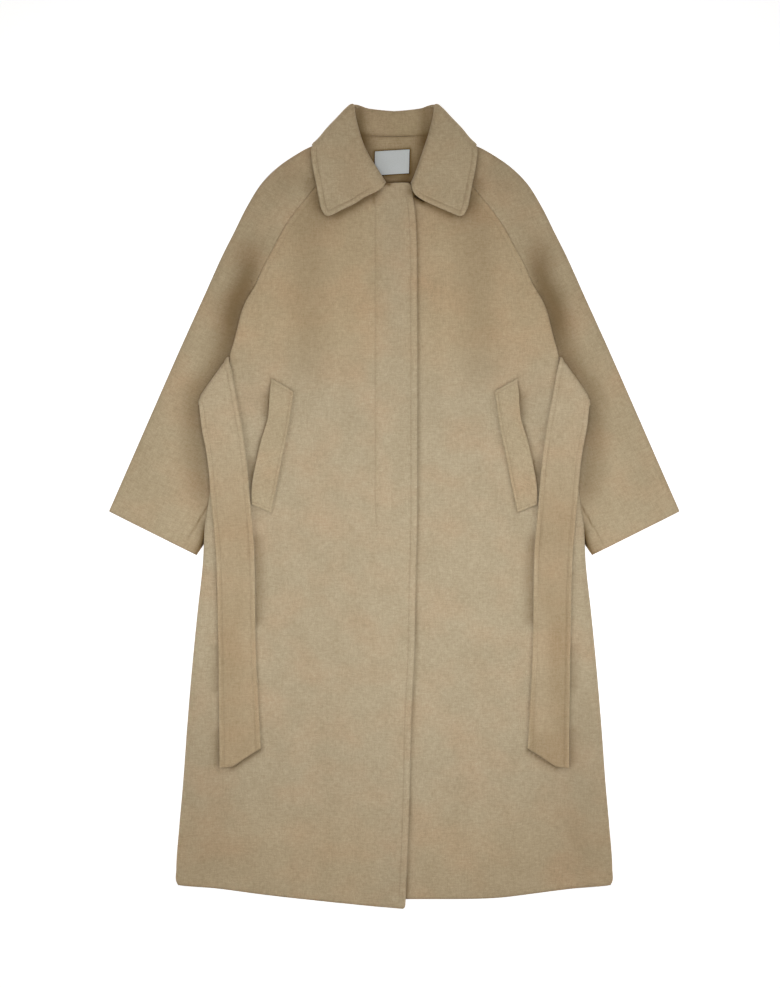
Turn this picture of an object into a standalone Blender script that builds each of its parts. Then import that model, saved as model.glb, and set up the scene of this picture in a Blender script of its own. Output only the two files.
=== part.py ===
"""A long belted raglan coat, fastened and laid flat on its back.

The coat lies on the plane z = 0 with its collar towards +Y and its hem towards -Y. The wearer's
right is at -X. The origin is on that plane, at the middle of the coat's box. Each piece of cloth
is a surface lofted through its sections, one row of a table each, with a Solidify wall.
Sizes are millimetres until a mesh is made.
"""

import math
from collections import namedtuple

import bmesh
import bpy

MM = 0.001

# Thickness of the cloth pieces
CLOTH = 2.0
COLLAR = 2.4
BELT = 3.2
WELT = 2.6
LABEL = 1.0

# Clearances between pieces
GAP = 0.4
SEAM = 0.5
CURL_SEAM = 1.2

# How far each layer lifts what lies on it
STEP = CLOTH + GAP
OVER_COLLAR = COLLAR + GAP
OVER_SLEEVE = 2 * STEP
OVER_BELT = BELT + GAP

# Rounded folds, as the radius of the middle of the cloth
SIDE_RADIUS = 2.6
LOFT_WIDTH = 28.0
CURL_RAMP = 28.0

# The belt presses the side fold flatter over this stretch
PRESSED_RADIUS = 1.8
PRESSED_MIDDLE = 195.0
PRESSED_HALF = 34.0
PRESSED_RAMP = 50.0

# Soft loft of the top layer round the neck
NECK_LOFT = 2.0
NECK_LOFT_WIDTH = 75.0
ROLL_LOFT = 1.2
WING_REACH = 14.0
WING_REST = 0.3

# Closing: the right front laps over the left one
UNDER_EDGE = 27.0
LAP_START = 76.0
LAP_RAMP = 38.0
LAP_REST = 0.5
CENTRE_SHIFT = 6.0
CENTRE_SHIFT_REACH = 30.0
NECK_DIP = 2.0

# Belt: its middle line behind the back, and its fold beside each side
BELT_MIDDLE = 222.0
BELT_SLOPE = 0.11
BELT_HALF = 28.0
BELT_REST = 13.0
BELT_RAMP = 56.0
BELT_SLEEVE_REST = 8.0
BELT_SLEEVE_RAMP = 30.0
BELT_REACH_ACROSS = 10.0
BELT_REACH_ALONG = 28.0
WELT_REACH = 16.0

# The body rises over the sleeve that is tucked beneath it
SLEEVE_REST = 22.0
SLEEVE_RAMP = 40.0
CUFF_REST = -66.0
CUFF_RAMP = 50.0
UNDERARM = 329.0
RAGLAN_RISE = 103.0

# The collar's hidden back half holds up the neck
COLLAR_HEM = 520.0
COLLAR_HEM_RISE = 27.0
COLLAR_HEM_HALF = 121.0
COLLAR_REST = 16.0
COLLAR_RAMP = 36.0

# Distances from the side edge and from the closing edge at which every body row has a column,
# so that layers follow each other, and the row width from which they are drawn together
SIDE_COLUMNS = [13, 30, 50, 72, 96, 122]
LAP_COLUMNS = [101, 79, 60, 30]
FULL_ROW = 200.0
BACK_COLUMNS = 2

# Places across the other pieces, and steps round a fold
SLEEVE_FIRST = 14.0
SLEEVE_FIRST_SHARE = 0.2
SLEEVE_COLUMNS = 4
WING_PLACES = 6
STAND_PLACES = 4
WELT_PLACES = 4
LABEL_PLACES = 4
CURL_STEPS = 3
FOLD_STEPS = 4
BELT_FOLD_STEPS = 5

SIDES = {"right": -1, "left": 1}

Point = namedtuple("Point", "x y")
BodyRow = namedtuple("BodyRow", "side_y middle_y")
Section = namedtuple("Section", "outer_x outer_y inner_x inner_y")
Ridge = namedtuple("Ridge", "x0 y0 x1 y1 width height")
Colour = namedtuple("Colour", "red green blue roughness")

# The raglan seam, from the neck to the underarm
BACK_NECK = Point(57.5, 557)
FRONT_NECK = Point(74, 536)
RAGLAN = [
    Point(98, 506),
    Point(125, 472),
    Point(156.5, 432),
    Point(168.5, 413),
    Point(181, 389),
    Point(197, 358),
    Point(210, UNDERARM),
]

# The body's side edge, from the underarm to the hem
SIDE = [
    Point(210, UNDERARM),
    Point(223, 306),
    Point(229, 290),
    Point(233.5, 272),
    Point(238.5, 252),
    Point(246.5, 224),
    Point(246, 200),
    Point(253, 160),
    Point(266, 105),
    Point(272.5, 50),
    Point(277, 10),
    Point(283, -25),
    Point(286, -80),
    Point(294.5, -158),
    Point(303, -245),
    Point(310.5, -335),
    Point(316.5, -418),
    Point(322, -480),
    Point(327.2, -550),
    Point(326, -567),
]

# The sleeve's inner edge, which the body covers from the underarm almost to the cuff
TUBE = [
    Section(269.5, 346, 191, 302),
    Section(282.5, 317, 179, 270),
    Section(299, 279, 175.5, 236),
    Section(317, 239, 183, 194),
    Section(339, 189, 198, 151),
    Section(365, 131, 222, 92),
    Section(391.5, 71, 249, 29),
    Section(409.5, 30, 270, -20),
    Section(426.4, -8, 297, -72),
]
# The sleeve's head: shoulder line to raglan seam
SHOULDER_NECK = Point(77, 567)
BACK_HEAD_ROW = Section(95, 555.4, FRONT_NECK.x, FRONT_NECK.y)
HEAD = [
    Section(107.5, 543.5, 98, 506),
    Section(149, 527, 125, 472),
    Section(185, 498.5, 156.5, 432),
    Section(206.5, 474, 168.5, 413),
    Section(225, 442.5, 181, 389),
    Section(243, 404, 197, 358),
    Section(259, 370, 210, UNDERARM),
]

# Rows across the body below the neck: height at the side and at the middle
BODY_ROWS = [
    BodyRow(472, 470),
    BodyRow(432, 436),
    BodyRow(413, 418),
    BodyRow(389, 398),
    BodyRow(358, 372),
    BodyRow(UNDERARM, 346),
    BodyRow(300, 320),
    BodyRow(270, 295),
    BodyRow(251, 277),
    BodyRow(234, 260),
    BodyRow(195.5, 222),
    BodyRow(157, 184),
    BodyRow(140, 167),
    BodyRow(121, 148),
    BodyRow(88, 112),
    BodyRow(48, 66),
    BodyRow(8, 18),
    BodyRow(-28, -26),
    BodyRow(-66, -68),
    BodyRow(-92, -96),
    BodyRow(-118, -124),
    BodyRow(-170, -178),
    BodyRow(-245, -256),
    BodyRow(-335, -350),
    BodyRow(-418, -438),
    BodyRow(-480, -506),
    BodyRow(-540, -566),
]
BACK_HEM = BodyRow(-563, -582)
LAP_HEM = BodyRow(-567, -601.5)
UNDER_HEM = BodyRow(-567, -588)

# The front's neck edge, from the raglan seam to its top corner
FRONT_NECK_EDGE = [
    Point(66, 517),
    Point(50, 497),
    Point(19, 484),
]
LAP_TOP = 485.0
UNDER_TOP = 479.0
# The right front's edge, from the neck to the hem
LAP_EDGE = [
    Point(25, 485),
    Point(30, 465),
    Point(33, 420),
    Point(34.5, 300),
    Point(34.5, 0),
    Point(31.5, -160),
    Point(27, -275),
    Point(22, -470),
    Point(15, -602),
]

# The line where the collar rolls over, from the front end to the side of the neck
ROLL = [
    Point(19, 485),
    Point(25.5, 496),
    Point(33.7, 512),
    Point(41.7, 529),
    Point(49, 547.8),
    Point(55, 566.6),
    Point(59.5, 583.5),
    Point(60.8, 603.2),
]
# Collar wing sections, from the front end to the fold: outer is the cloth edge, inner the roll
WING = [
    Section(100, 435.5, 20, 484.5),
    Section(110.5, 446, 25.5, 496),
    Section(115.5, 469, 33.7, 512),
    Section(118.5, 490, 41.7, 529),
    Section(121, 510, 49, 547.8),
    Section(122.5, 528, 55, 566.6),
    Section(123.2, 537, 58.5, 583.5),
]
# The collar's rounded fold beside the neck, from the roll to the cloth edge
COLLAR_FOLD = [
    Point(61.5, 603),
    Point(72, 598.5),
    Point(86, 585.6),
    Point(104, 567),
    Point(121, 547),
    Point(124, 542.3),
]
# The collar's back half, from the fold to the middle: outer is the hidden edge, inner the roll
COLLAR_BACK = [
    Section(104, 539, 52, 598.6),
    Section(72, 530, 36, 595.5),
    Section(36, 524, 18, 593),
    Section(0, 522, 0, 592),
]
# Stand sections, from the front end to the fold: outer is the neck seam, inner the roll
STAND = [
    Section(18.8, 485, 19.4, 488),
    Section(48.7, 498.5, 33, 512),
    Section(64.4, 518.2, 41.2, 529),
    Section(72.8, 536.6, 48.5, 547.8),
    Section(74.8, 551, 53, 566.6),
]
STAND_FOLD = [
    Point(56.5, 596),
    Point(64, 585),
    Point(71, 575),
    Point(74.5, 567),
]
STAND_BACK = [
    Section(56, 558, 45, 596),
    Section(28, 557.4, 21.5, 593.3),
    Section(0, 557.4, 0, 592),
]

# Pocket welt, from its top to its bottom: outer is the opening
WELT_SECTIONS = [
    Section(184, 193, 150, 175),
    Section(187, 160, 155, 140),
    Section(196, 118, 162, 100),
    Section(205, 78, 169, 62),
    Section(210, 44, 177, 28),
    Section(213, 2, 185, -11),
]

# Belt end, from the fold to the tip, by its outer and inner edges
BELT_END = [
    Section(291, 144, 243, 196),
    Section(287.5, 116, 236.5, 164),
    Section(282, 86, 227.5, 116),
    Section(278.5, 56, 221, 66),
    Section(276, 22, 217.2, 23),
    Section(273, -9, 214.5, -9),
    Section(269.5, -45, 212, -45),
    Section(267, -85, 209.5, -85),
    Section(265.4, -140, 208.5, -140),
    Section(264.3, -230, 207, -230),
    Section(263.5, -298, 203.5, -298),
]
BELT_TIP = [Point(200, -362), Point(221, -375), Point(243, -390.5), Point(262.2, -391.5)]
BELT_FOLD_INNER = Point(250.5, 222.5)
BELT_FOLD_OUTER = Point(292.5, 161)
BELT_STRANDS = [0.0, 0.34, 0.69, 1.0]

# Where the belt's hidden run has its sections, from the middle to the side
BELT_RUN = [0, 30, 60, 90, 116, 130, 144, 158, 172, 188, 208, 228]

# Neck label: corners of a woven rectangle, turned a little
LABEL_MIDDLE = Point(-3.5, 516.5)
LABEL_WIDTH = 52.0
LABEL_HEIGHT = 36.0
LABEL_TURN = math.radians(4.0)
LABEL_REACH = 9.0

# Soft ridges that the top layer shows, as lines with a width and a height
FRONT_RIDGES = [
    Ridge(150, 395, 118, 250, 24, 1.6),
    Ridge(95, 60, 118, -250, 34, 1.8),
    Ridge(150, -180, 178, -540, 44, 2.2),
    Ridge(262, -260, 288, -540, 30, 1.6),
    Ridge(70, -330, 82, -560, 40, 1.8),
]
SLEEVE_RIDGES = [
    Ridge(232, 400, 262, 300, 18, 1.5),
    Ridge(300, 215, 345, 120, 22, 1.8),
    Ridge(330, 70, 372, 10, 24, 1.6),
]

COLOURS = {
    "wool": Colour(0.42, 0.32, 0.19, 0.9),
    "wool_inside": Colour(0.34, 0.25, 0.14, 0.92),
    "wool_belt": Colour(0.42, 0.31, 0.19, 0.9),
    "satin": Colour(0.6, 0.6, 0.57, 0.45),
}


def smooth(share):
    """A soft step from 0 to 1."""
    share = min(max(share, 0.0), 1.0)
    return share * share * (3.0 - 2.0 * share)


def mix(start, end, share):
    return start + (end - start) * share


def shares(count):
    """Even shares from 0 to 1."""
    return [index / (count - 1) for index in range(count)]


def width_at(points, y):
    """The half width that a list of points from top to bottom has at a height."""
    if y >= points[0].y:
        return points[0].x
    for upper, lower in zip(points, points[1:]):
        if y >= lower.y:
            return mix(lower.x, upper.x, (y - lower.y) / (upper.y - lower.y))
    return points[-1].x


def line_distance(x, y, points):
    """The distance from a place to a line through points."""
    nearest = math.inf
    for start, end in zip(points, points[1:]):
        run_x = end.x - start.x
        run_y = end.y - start.y
        share = ((x - start.x) * run_x + (y - start.y) * run_y) / (run_x**2 + run_y**2)
        share = min(max(share, 0.0), 1.0)
        nearest = min(nearest, math.hypot(x - start.x - share * run_x, y - start.y - share * run_y))
    return nearest


RAGLAN_LINE = [BACK_NECK, FRONT_NECK] + RAGLAN
BODY_OUTLINE = RAGLAN_LINE + SIDE[1:]
SLEEVE_INNER = RAGLAN_LINE + [Point(row.inner_x, row.inner_y) for row in TUBE]
SHOULDER_LINE = [SHOULDER_NECK] + [Point(row.outer_x, row.outer_y) for row in HEAD + TUBE]
ROLL_DOWN = ROLL[::-1]


def over_collar(x, y):
    """Lift of the neck and shoulders over the collar's back half."""
    hem = COLLAR_HEM + COLLAR_HEM_RISE * (x / COLLAR_HEM_HALF) ** 2
    return OVER_COLLAR * (1 - smooth((hem - y - COLLAR_REST) / COLLAR_RAMP))


def over_sleeve(x, y, rest=SLEEVE_REST, ramp=SLEEVE_RAMP):
    """Lift of the body, or of the belt's run, over the sleeve tucked beneath its side."""
    inward = width_at(SLEEVE_INNER, y) - abs(x)
    raglan = 1 - smooth((y - UNDERARM) / RAGLAN_RISE)
    cuff = 1 - smooth((CUFF_REST - y) / CUFF_RAMP)
    return OVER_SLEEVE * (1 - smooth((inward - rest) / ramp)) * raglan * cuff


def over_belt(x, y):
    """Lift of the body over the belt's run behind the back."""
    away = abs(y - BELT_MIDDLE + BELT_SLOPE * abs(x)) - BELT_HALF
    return OVER_BELT * (1 - smooth((away - BELT_REST) / BELT_RAMP))


def ridges(x, y, lines):
    """Height of the soft ridges at a place, the same on both sides of the coat."""
    height = 0.0
    for line in lines:
        away = line_distance(abs(x), y, [Point(line.x0, line.y0), Point(line.x1, line.y1)])
        height += line.height * (1 - smooth(away / line.width))
    return height


def neck_loft(x, y):
    """Loft of the top layer beside the collar's roll line."""
    if y >= ROLL[0].y:
        away = abs(x) - width_at(ROLL_DOWN, y)
    else:
        away = math.hypot(max(abs(x) - ROLL[0].x, 0.0), ROLL[0].y - y)
    return NECK_LOFT * (1 - smooth(away / NECK_LOFT_WIDTH))


def side_radius(y):
    """Radius of the side fold, which the belt presses flatter."""
    pressed = 1 - smooth((abs(y - PRESSED_MIDDLE) - PRESSED_HALF) / PRESSED_RAMP)
    return mix(SIDE_RADIUS, PRESSED_RADIUS, pressed)


def side_curl(y):
    """How far the side edge is curled: not along the raglan seam, fully below it."""
    return smooth((UNDERARM - y) / CURL_RAMP)


def highest(height, x, y, reach_x, reach_y):
    """The highest value of a height near a place, for what lies on it without sinking into dips."""
    offsets = (-1.0, -0.5, 0.0, 0.5, 1.0)
    return max(height(x + a * reach_x, y + b * reach_y) for a in offsets for b in offsets)


def edge_loft(distance, radius, share):
    """Loft of the top layer beside a rounded edge."""
    return share * (2 * radius - STEP) * (1 - smooth((distance - radius) / LOFT_WIDTH))


def back_height(x, y):
    """Middle of the back's cloth."""
    return CLOTH / 2 + over_collar(x, y) + over_sleeve(x, y) + over_belt(x, y)


def lap_lift(x, y):
    """Lift of the right front over the left one."""
    return (STEP + LAP_REST) * smooth((x + LAP_START) / LAP_RAMP)


def front_height(x, y, side):
    """Middle of a front's cloth."""
    height = back_height(x, y) + STEP + neck_loft(x, y) + ridges(x, y, FRONT_RIDGES)
    away = line_distance(abs(x), y, BODY_OUTLINE)
    height += edge_loft(away, side_radius(y), side_curl(y))
    if side < 0:
        height += lap_lift(x, y)
    return height


def sleeve_back_height(x, y):
    return CLOTH / 2 + over_collar(x, y)


def sleeve_front_height(x, y):
    """Middle of the sleeve's upper cloth."""
    away = line_distance(abs(x), y, SHOULDER_LINE)
    loft = max(edge_loft(away, SIDE_RADIUS, 1.0), neck_loft(x, y))
    return sleeve_back_height(x, y) + STEP + loft + ridges(x, y, SLEEVE_RIDGES)


def stand_front_height(x, y, side):
    height = CLOTH / 2 + over_collar(x, y) + STEP + neck_loft(x, y)
    if side < 0:
        height += lap_lift(x, y)
    return height


def wing_height(x, y, side):
    """Middle of the collar wing's cloth, over whichever layer is the higher."""

    def under(near_x, near_y):
        if abs(near_x) > width_at(RAGLAN_LINE, near_y):
            return sleeve_front_height(near_x, near_y)
        return front_height(near_x, near_y, side)

    rest = CLOTH / 2 + GAP + WING_REST + COLLAR / 2
    roll = ROLL_LOFT * neck_loft(x, y) / NECK_LOFT
    return highest(under, x, y, WING_REACH, WING_REACH) + rest + roll


def curl_columns(radius, share, upper):
    """Distances from an edge and the change in height, for a curled or a flat edge."""
    first = CURL_SEAM / 2 / radius
    columns = []
    for step in shares(CURL_STEPS + 1):
        angle = mix(first, math.pi / 2, step)
        flat = mix(SEAM / 2, radius * math.pi / 2, step)
        distance = mix(flat, radius * (1 - math.cos(angle)), share)
        drop = share * radius * (1 - math.sin(angle))
        columns.append((distance, -drop if upper else drop))
    return columns


def place_section(outer, inner, outer_curl, middle, inner_curl):
    """Places along one section, as x, y and the change in height at its curled ends."""
    length = math.hypot(inner.x - outer.x, inner.y - outer.y)
    columns = list(outer_curl)
    columns += [(distance, 0.0) for distance in middle]
    columns += [(length - distance, rise) for distance, rise in reversed(inner_curl)]
    placed = []
    for distance, rise in columns:
        share = distance / length
        placed.append((mix(outer.x, inner.x, share), mix(outer.y, inner.y, share), rise))
    return placed


def make_material(name):
    colour = COLOURS[name]
    material = bpy.data.materials.new(name)
    material.use_nodes = True
    shader = material.node_tree.nodes["Principled BSDF"]
    shader.inputs["Base Color"].default_value = (colour.red, colour.green, colour.blue, 1)
    shader.inputs["Roughness"].default_value = colour.roughness
    shader.inputs["Metallic"].default_value = 0.0
    return material


def make_collection(name):
    collection = bpy.data.collections.new(name)
    bpy.context.scene.collection.children.link(collection)
    return collection


def cloth_piece(name, sections, wall, material, mirrored=False):
    """Lofts a surface through sections of equal length and gives it a wall.

    With mirrored set, the sections run from the left side to the middle line, and the other half
    is a mirror image.
    """
    form = bmesh.new()
    rows = []
    for section in sections:
        rows.append([form.verts.new((x * MM, y * MM, z * MM)) for x, y, z in section])
    for upper, lower in zip(rows, rows[1:]):
        for column in range(len(upper) - 1):
            form.faces.new((upper[column], lower[column], lower[column + 1]))
            form.faces.new((upper[column], lower[column + 1], upper[column + 1]))
    form.normal_update()
    if sum(face.normal.z * face.calc_area() for face in form.faces) < 0:
        bmesh.ops.reverse_faces(form, faces=form.faces[:])
    mesh = bpy.data.meshes.new(name)
    form.to_mesh(mesh)
    form.free()
    mesh.shade_smooth()
    mesh.materials.append(MATERIALS[material])
    piece = bpy.data.objects.new(name, mesh)
    COAT.objects.link(piece)
    if mirrored:
        mirror = piece.modifiers.new("Other half", "MIRROR")
        mirror.use_axis = (True, False, False)
        mirror.merge_threshold = 0.0001
    thickness = piece.modifiers.new("Wall", "SOLIDIFY")
    thickness.thickness = wall * MM
    thickness.offset = 0.0
    thickness.use_rim = True
    return piece


def spread(start, end, count):
    """Even places strictly between two distances."""
    return [mix(start, end, index / (count + 1)) for index in range(1, count + 1)]


def centre_shift(x):
    """The lap draws the neck's front ends a little towards the wearer's left."""
    return CENTRE_SHIFT * (1 - smooth((abs(x) - ROLL[0].x) / CENTRE_SHIFT_REACH))


def row_scale(outer, length):
    """How far the columns of a short row are drawn together, alike in each layer."""
    return min(1.0, abs(outer.x) / FULL_ROW, length / FULL_ROW)


def side_end(row, side):
    """The end of a body row on its side edge or raglan seam."""
    return Point(side * width_at(BODY_OUTLINE, row.side_y), row.side_y)


def body_edge_curl(y, upper, scale):
    """Columns of the side edge, drawn together on the short rows near the neck."""
    columns = curl_columns(side_radius(y), side_curl(y), upper)
    first = columns[0][0]
    return [(first + (distance - first) * scale, rise) for distance, rise in columns]


def back_section(outer, inner):
    length = math.hypot(inner.x - outer.x, inner.y - outer.y)
    scale = row_scale(outer, length)
    middle = [distance * scale for distance in SIDE_COLUMNS]
    middle += spread(middle[-1], length, BACK_COLUMNS)
    curl = body_edge_curl(outer.y, False, scale)
    placed = place_section(outer, inner, curl, middle, [(0.0, 0.0)])
    return [(x, y, back_height(x, y) + rise) for x, y, rise in placed]


def make_back():
    """The back, as its left half and a mirror image."""
    sections = []
    for station in (BACK_NECK, FRONT_NECK, RAGLAN[0]):
        sections.append(back_section(Point(-station.x, station.y), Point(0, station.y - NECK_DIP)))
    for row in BODY_ROWS + [BACK_HEM]:
        sections.append(back_section(side_end(row, -1), Point(0, row.middle_y)))
    sections[0] = [(x, BACK_NECK.y, z) for x, y, z in sections[0]]
    return cloth_piece("back", sections, CLOTH, "wool_inside", mirrored=True)


def front_section(outer, inner, side):
    length = math.hypot(inner.x - outer.x, inner.y - outer.y)
    scale = row_scale(outer, length)
    middle = [distance * scale for distance in SIDE_COLUMNS]
    from_edge = [length - distance * scale for distance in LAP_COLUMNS]
    middle += spread(middle[-1], from_edge[0], 1) + from_edge
    curl = body_edge_curl(outer.y, True, scale)
    placed = place_section(outer, inner, curl, middle, [(0.0, 0.0)])
    return [(x, y, front_height(x, y, side) + rise) for x, y, rise in placed]


def make_front(side_name):
    """A front, from the raglan and side edge to the closing edge."""
    side = SIDES[side_name]
    over = side < 0
    stations = [FRONT_NECK] + RAGLAN[:2]
    sections = []
    for station, neck in zip(stations, FRONT_NECK_EDGE):
        outer = Point(side * station.x, station.y)
        inner = Point(side * neck.x + centre_shift(neck.x), neck.y)
        sections.append(front_section(outer, inner, side))
    hem = LAP_HEM if over else UNDER_HEM
    for row in BODY_ROWS[1:] + [hem]:
        outer = side_end(row, side)
        slope = (row.middle_y - row.side_y) / abs(outer.x)
        edge_x = width_at(LAP_EDGE, row.middle_y) if over else -UNDER_EDGE
        inner_y = row.side_y + slope * (abs(outer.x) - side * edge_x)
        if row is BODY_ROWS[1]:
            edge_x = LAP_EDGE[0].x if over else -UNDER_EDGE
            inner_y = LAP_TOP if over else UNDER_TOP
        sections.append(front_section(outer, Point(edge_x, inner_y), side))
    return cloth_piece("front_" + side_name, sections, CLOTH, "wool")


def sleeve_section(outer, inner, upper):
    """One section of a sleeve half, from its shoulder line to its inner edge."""
    length = math.hypot(inner.x - outer.x, inner.y - outer.y)
    outer_curl = curl_columns(SIDE_RADIUS, 1.0, upper)
    first = outer_curl[-1][0]
    last = length - SEAM / 2
    start = first + min(SLEEVE_FIRST, (last - first) * SLEEVE_FIRST_SHARE)
    middle = [start] + spread(start, last, SLEEVE_COLUMNS)
    placed = place_section(outer, inner, outer_curl, middle, [(SEAM / 2, 0.0)])
    height = sleeve_front_height if upper else sleeve_back_height
    return [(x, y, height(x, y) + rise) for x, y, rise in placed]


def make_sleeve(side_name, upper):
    """A sleeve half: the head beside the raglan seam, then the tube to the cuff."""
    side = SIDES[side_name]
    rows = [Section(SHOULDER_NECK.x, SHOULDER_NECK.y, FRONT_NECK.x, FRONT_NECK.y)]
    if not upper:
        rows = [
            Section(SHOULDER_NECK.x, SHOULDER_NECK.y, BACK_NECK.x, BACK_NECK.y),
            BACK_HEAD_ROW,
        ]
    rows += HEAD + TUBE
    sections = []
    for row in rows:
        outer = Point(side * row.outer_x, row.outer_y)
        inner = Point(side * row.inner_x, row.inner_y)
        sections.append(sleeve_section(outer, inner, upper))
    name = "sleeve_" + side_name + ("_front" if upper else "_back")
    return cloth_piece(name, sections, CLOTH, "wool" if upper else "wool_inside")


def wing_sections(side):
    """Sections of a collar wing, from its front end towards the fold."""
    sections = []
    for row in WING:
        section = []
        for share in shares(WING_PLACES):
            x = mix(row.inner_x, row.outer_x, share)
            y = mix(row.inner_y, row.outer_y, share)
            x = side * x + centre_shift(x)
            section.append((x, y, wing_height(x, y, side)))
        sections.append(section)
    return sections


def fold_sections(points, side, top_height, low_height, steps):
    """Half circles that join an upper sheet to a lower one, along a line of outermost points."""
    sections = []
    for step in shares(steps + 1):
        angle = mix(math.pi / 2, -math.pi / 2, step)
        section = []
        for index, point in enumerate(points):
            before = points[max(index - 1, 0)]
            after = points[min(index + 1, len(points) - 1)]
            run = math.hypot(after.x - before.x, after.y - before.y)
            out_x = -(after.y - before.y) / run
            out_y = (after.x - before.x) / run
            top = top_height(side * point.x, point.y)
            low = low_height(side * point.x, point.y)
            radius = (top - low) / 2
            inset = radius * (1 - math.cos(angle))
            z = low + radius * (1 + math.sin(angle))
            section.append((side * (point.x - out_x * inset), point.y - out_y * inset, z))
        sections.append(section)
    return sections


def back_sections(rows, side, height, count):
    """Sections of a back half, from the fold to the middle line."""
    sections = []
    for row in rows:
        section = []
        for share in shares(count):
            x = side * mix(row.inner_x, row.outer_x, share)
            y = mix(row.inner_y, row.outer_y, share)
            section.append((x, y, height(x, y)))
        sections.append(section)
    return sections


def make_collar_fall():
    """The turned-down collar: right wing, fold, back half, fold, left wing."""

    def low(x, y):
        return COLLAR / 2

    halves = {}
    for side in (-1, 1):

        def top(x, y, side=side):
            return wing_height(x, y, side)

        half = wing_sections(side)
        half += fold_sections(COLLAR_FOLD, side, top, low, FOLD_STEPS)
        half += back_sections(COLLAR_BACK, side, low, WING_PLACES)
        halves[side] = half
    sections = halves[-1] + halves[1][-2::-1]
    return cloth_piece("collar_fall", sections, COLLAR, "wool")


def make_collar_stand():
    """The band between the neck seam and the roll line."""

    def low(x, y):
        return CLOTH / 2 + over_collar(x, y)

    halves = {}
    for side in (-1, 1):

        def top(x, y, side=side):
            return stand_front_height(x, y, side)

        half = []
        for row in STAND:
            section = []
            for share in shares(STAND_PLACES):
                x = mix(row.inner_x, row.outer_x, share)
                y = mix(row.inner_y, row.outer_y, share)
                x = side * x + centre_shift(x)
                section.append((x, y, top(x, y)))
            half.append(section)
        half += fold_sections(STAND_FOLD, side, top, low, FOLD_STEPS)
        half += back_sections(STAND_BACK, side, low, STAND_PLACES)
        halves[side] = half
    sections = halves[-1] + halves[1][-2::-1]
    return cloth_piece("collar_stand", sections, CLOTH, "wool_inside")


def make_welt(side_name):
    """A pocket welt, lying on its front."""
    side = SIDES[side_name]

    def panel(x, y):
        return front_height(x, y, side)

    sections = []
    for row in WELT_SECTIONS:
        section = []
        for share in shares(WELT_PLACES):
            x = side * mix(row.outer_x, row.inner_x, share)
            y = mix(row.outer_y, row.inner_y, share)
            z = highest(panel, x, y, WELT_REACH, WELT_REACH) + CLOTH / 2 + GAP + WELT / 2
            section.append((x, y, z))
        sections.append(section)
    return cloth_piece("pocket_welt_" + side_name, sections, WELT, "wool")


def belt_run_height(x, y):
    return BELT / 2 + over_sleeve(x, y, BELT_SLEEVE_REST, BELT_SLEEVE_RAMP)


def belt_end_height(x, y, side):
    """Middle of the belt's hanging end, over the front and its side edge."""

    def under(near_x, near_y):
        edge = width_at(BODY_OUTLINE, near_y) - SIDE_RADIUS
        return front_height(side * min(abs(near_x), edge), near_y, side)

    return highest(under, x, y, BELT_REACH_ACROSS, BELT_REACH_ALONG) + CLOTH / 2 + GAP + BELT / 2


def belt_half(side):
    """Belt sections from the tip up to the fold and along the run to the middle line."""
    tip = []
    for point in BELT_TIP:
        tip.append((side * point.x, point.y, belt_end_height(side * point.x, point.y, side)))
    sections = [tip]
    for row in reversed(BELT_END):
        section = []
        for share in BELT_STRANDS:
            x = side * mix(row.inner_x, row.outer_x, share)
            y = mix(row.inner_y, row.outer_y, share)
            section.append((x, y, belt_end_height(x, y, side)))
        sections.append(section)
    fold = []
    for share in BELT_STRANDS:
        x = mix(BELT_FOLD_INNER.x, BELT_FOLD_OUTER.x, share)
        y = mix(BELT_FOLD_INNER.y, BELT_FOLD_OUTER.y, share)
        fold.append(Point(x, y))

    def top(x, y):
        return belt_end_height(x, y, side)

    sections += fold_sections(fold, side, top, belt_run_height, BELT_FOLD_STEPS)
    for run_x in reversed(BELT_RUN):
        section = []
        for share in BELT_STRANDS:
            y = BELT_MIDDLE - BELT_SLOPE * run_x + BELT_HALF * (1 - 2 * share)
            x = side * run_x
            section.append((x, y, belt_run_height(x, y)))
        sections.append(section)
    return sections


def make_belt():
    sections = belt_half(-1) + belt_half(1)[-2::-1]
    return cloth_piece("belt", sections, BELT, "wool_belt")


def make_label():
    """The label, on the inside of the back below the neck seam."""
    sections = []
    for row in shares(LABEL_PLACES):
        section = []
        for column in shares(LABEL_PLACES):
            across = (column - 0.5) * LABEL_WIDTH
            up = (0.5 - row) * LABEL_HEIGHT
            x = LABEL_MIDDLE.x + across * math.cos(LABEL_TURN) - up * math.sin(LABEL_TURN)
            y = LABEL_MIDDLE.y + across * math.sin(LABEL_TURN) + up * math.cos(LABEL_TURN)
            under = highest(back_height, x, y, LABEL_REACH, LABEL_REACH)
            section.append((x, y, under + CLOTH / 2 + GAP + LABEL / 2))
        sections.append(section)
    return cloth_piece("neck_label", sections, LABEL, "satin")


for old in list(bpy.data.objects):
    bpy.data.objects.remove(old)

COAT = make_collection("long coat")
MATERIALS = {name: make_material(name) for name in COLOURS}

make_back()
for side_name in SIDES:
    make_front(side_name)
    make_sleeve(side_name, upper=True)
    make_sleeve(side_name, upper=False)
    make_welt(side_name)
make_collar_stand()
make_collar_fall()
make_belt()
make_label()
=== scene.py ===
"""A long belted coat of napped wool, fastened and laid flat on its back, dressed over its solids.

Lengths are millimetres until a mesh is made. The coat lies on z = 0 with its collar towards +Y and
the wearer's right at -X. Tables give the half towards +X, which the other half mirrors. The lap, the
fly and the shadows of one side alone lie where their tables say.
"""

import logging
import math
from dataclasses import dataclass
from enum import Enum
from typing import Callable, NamedTuple, Sequence

import bpy
import numpy as np
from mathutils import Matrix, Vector
from mathutils.bvhtree import BVHTree


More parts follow.
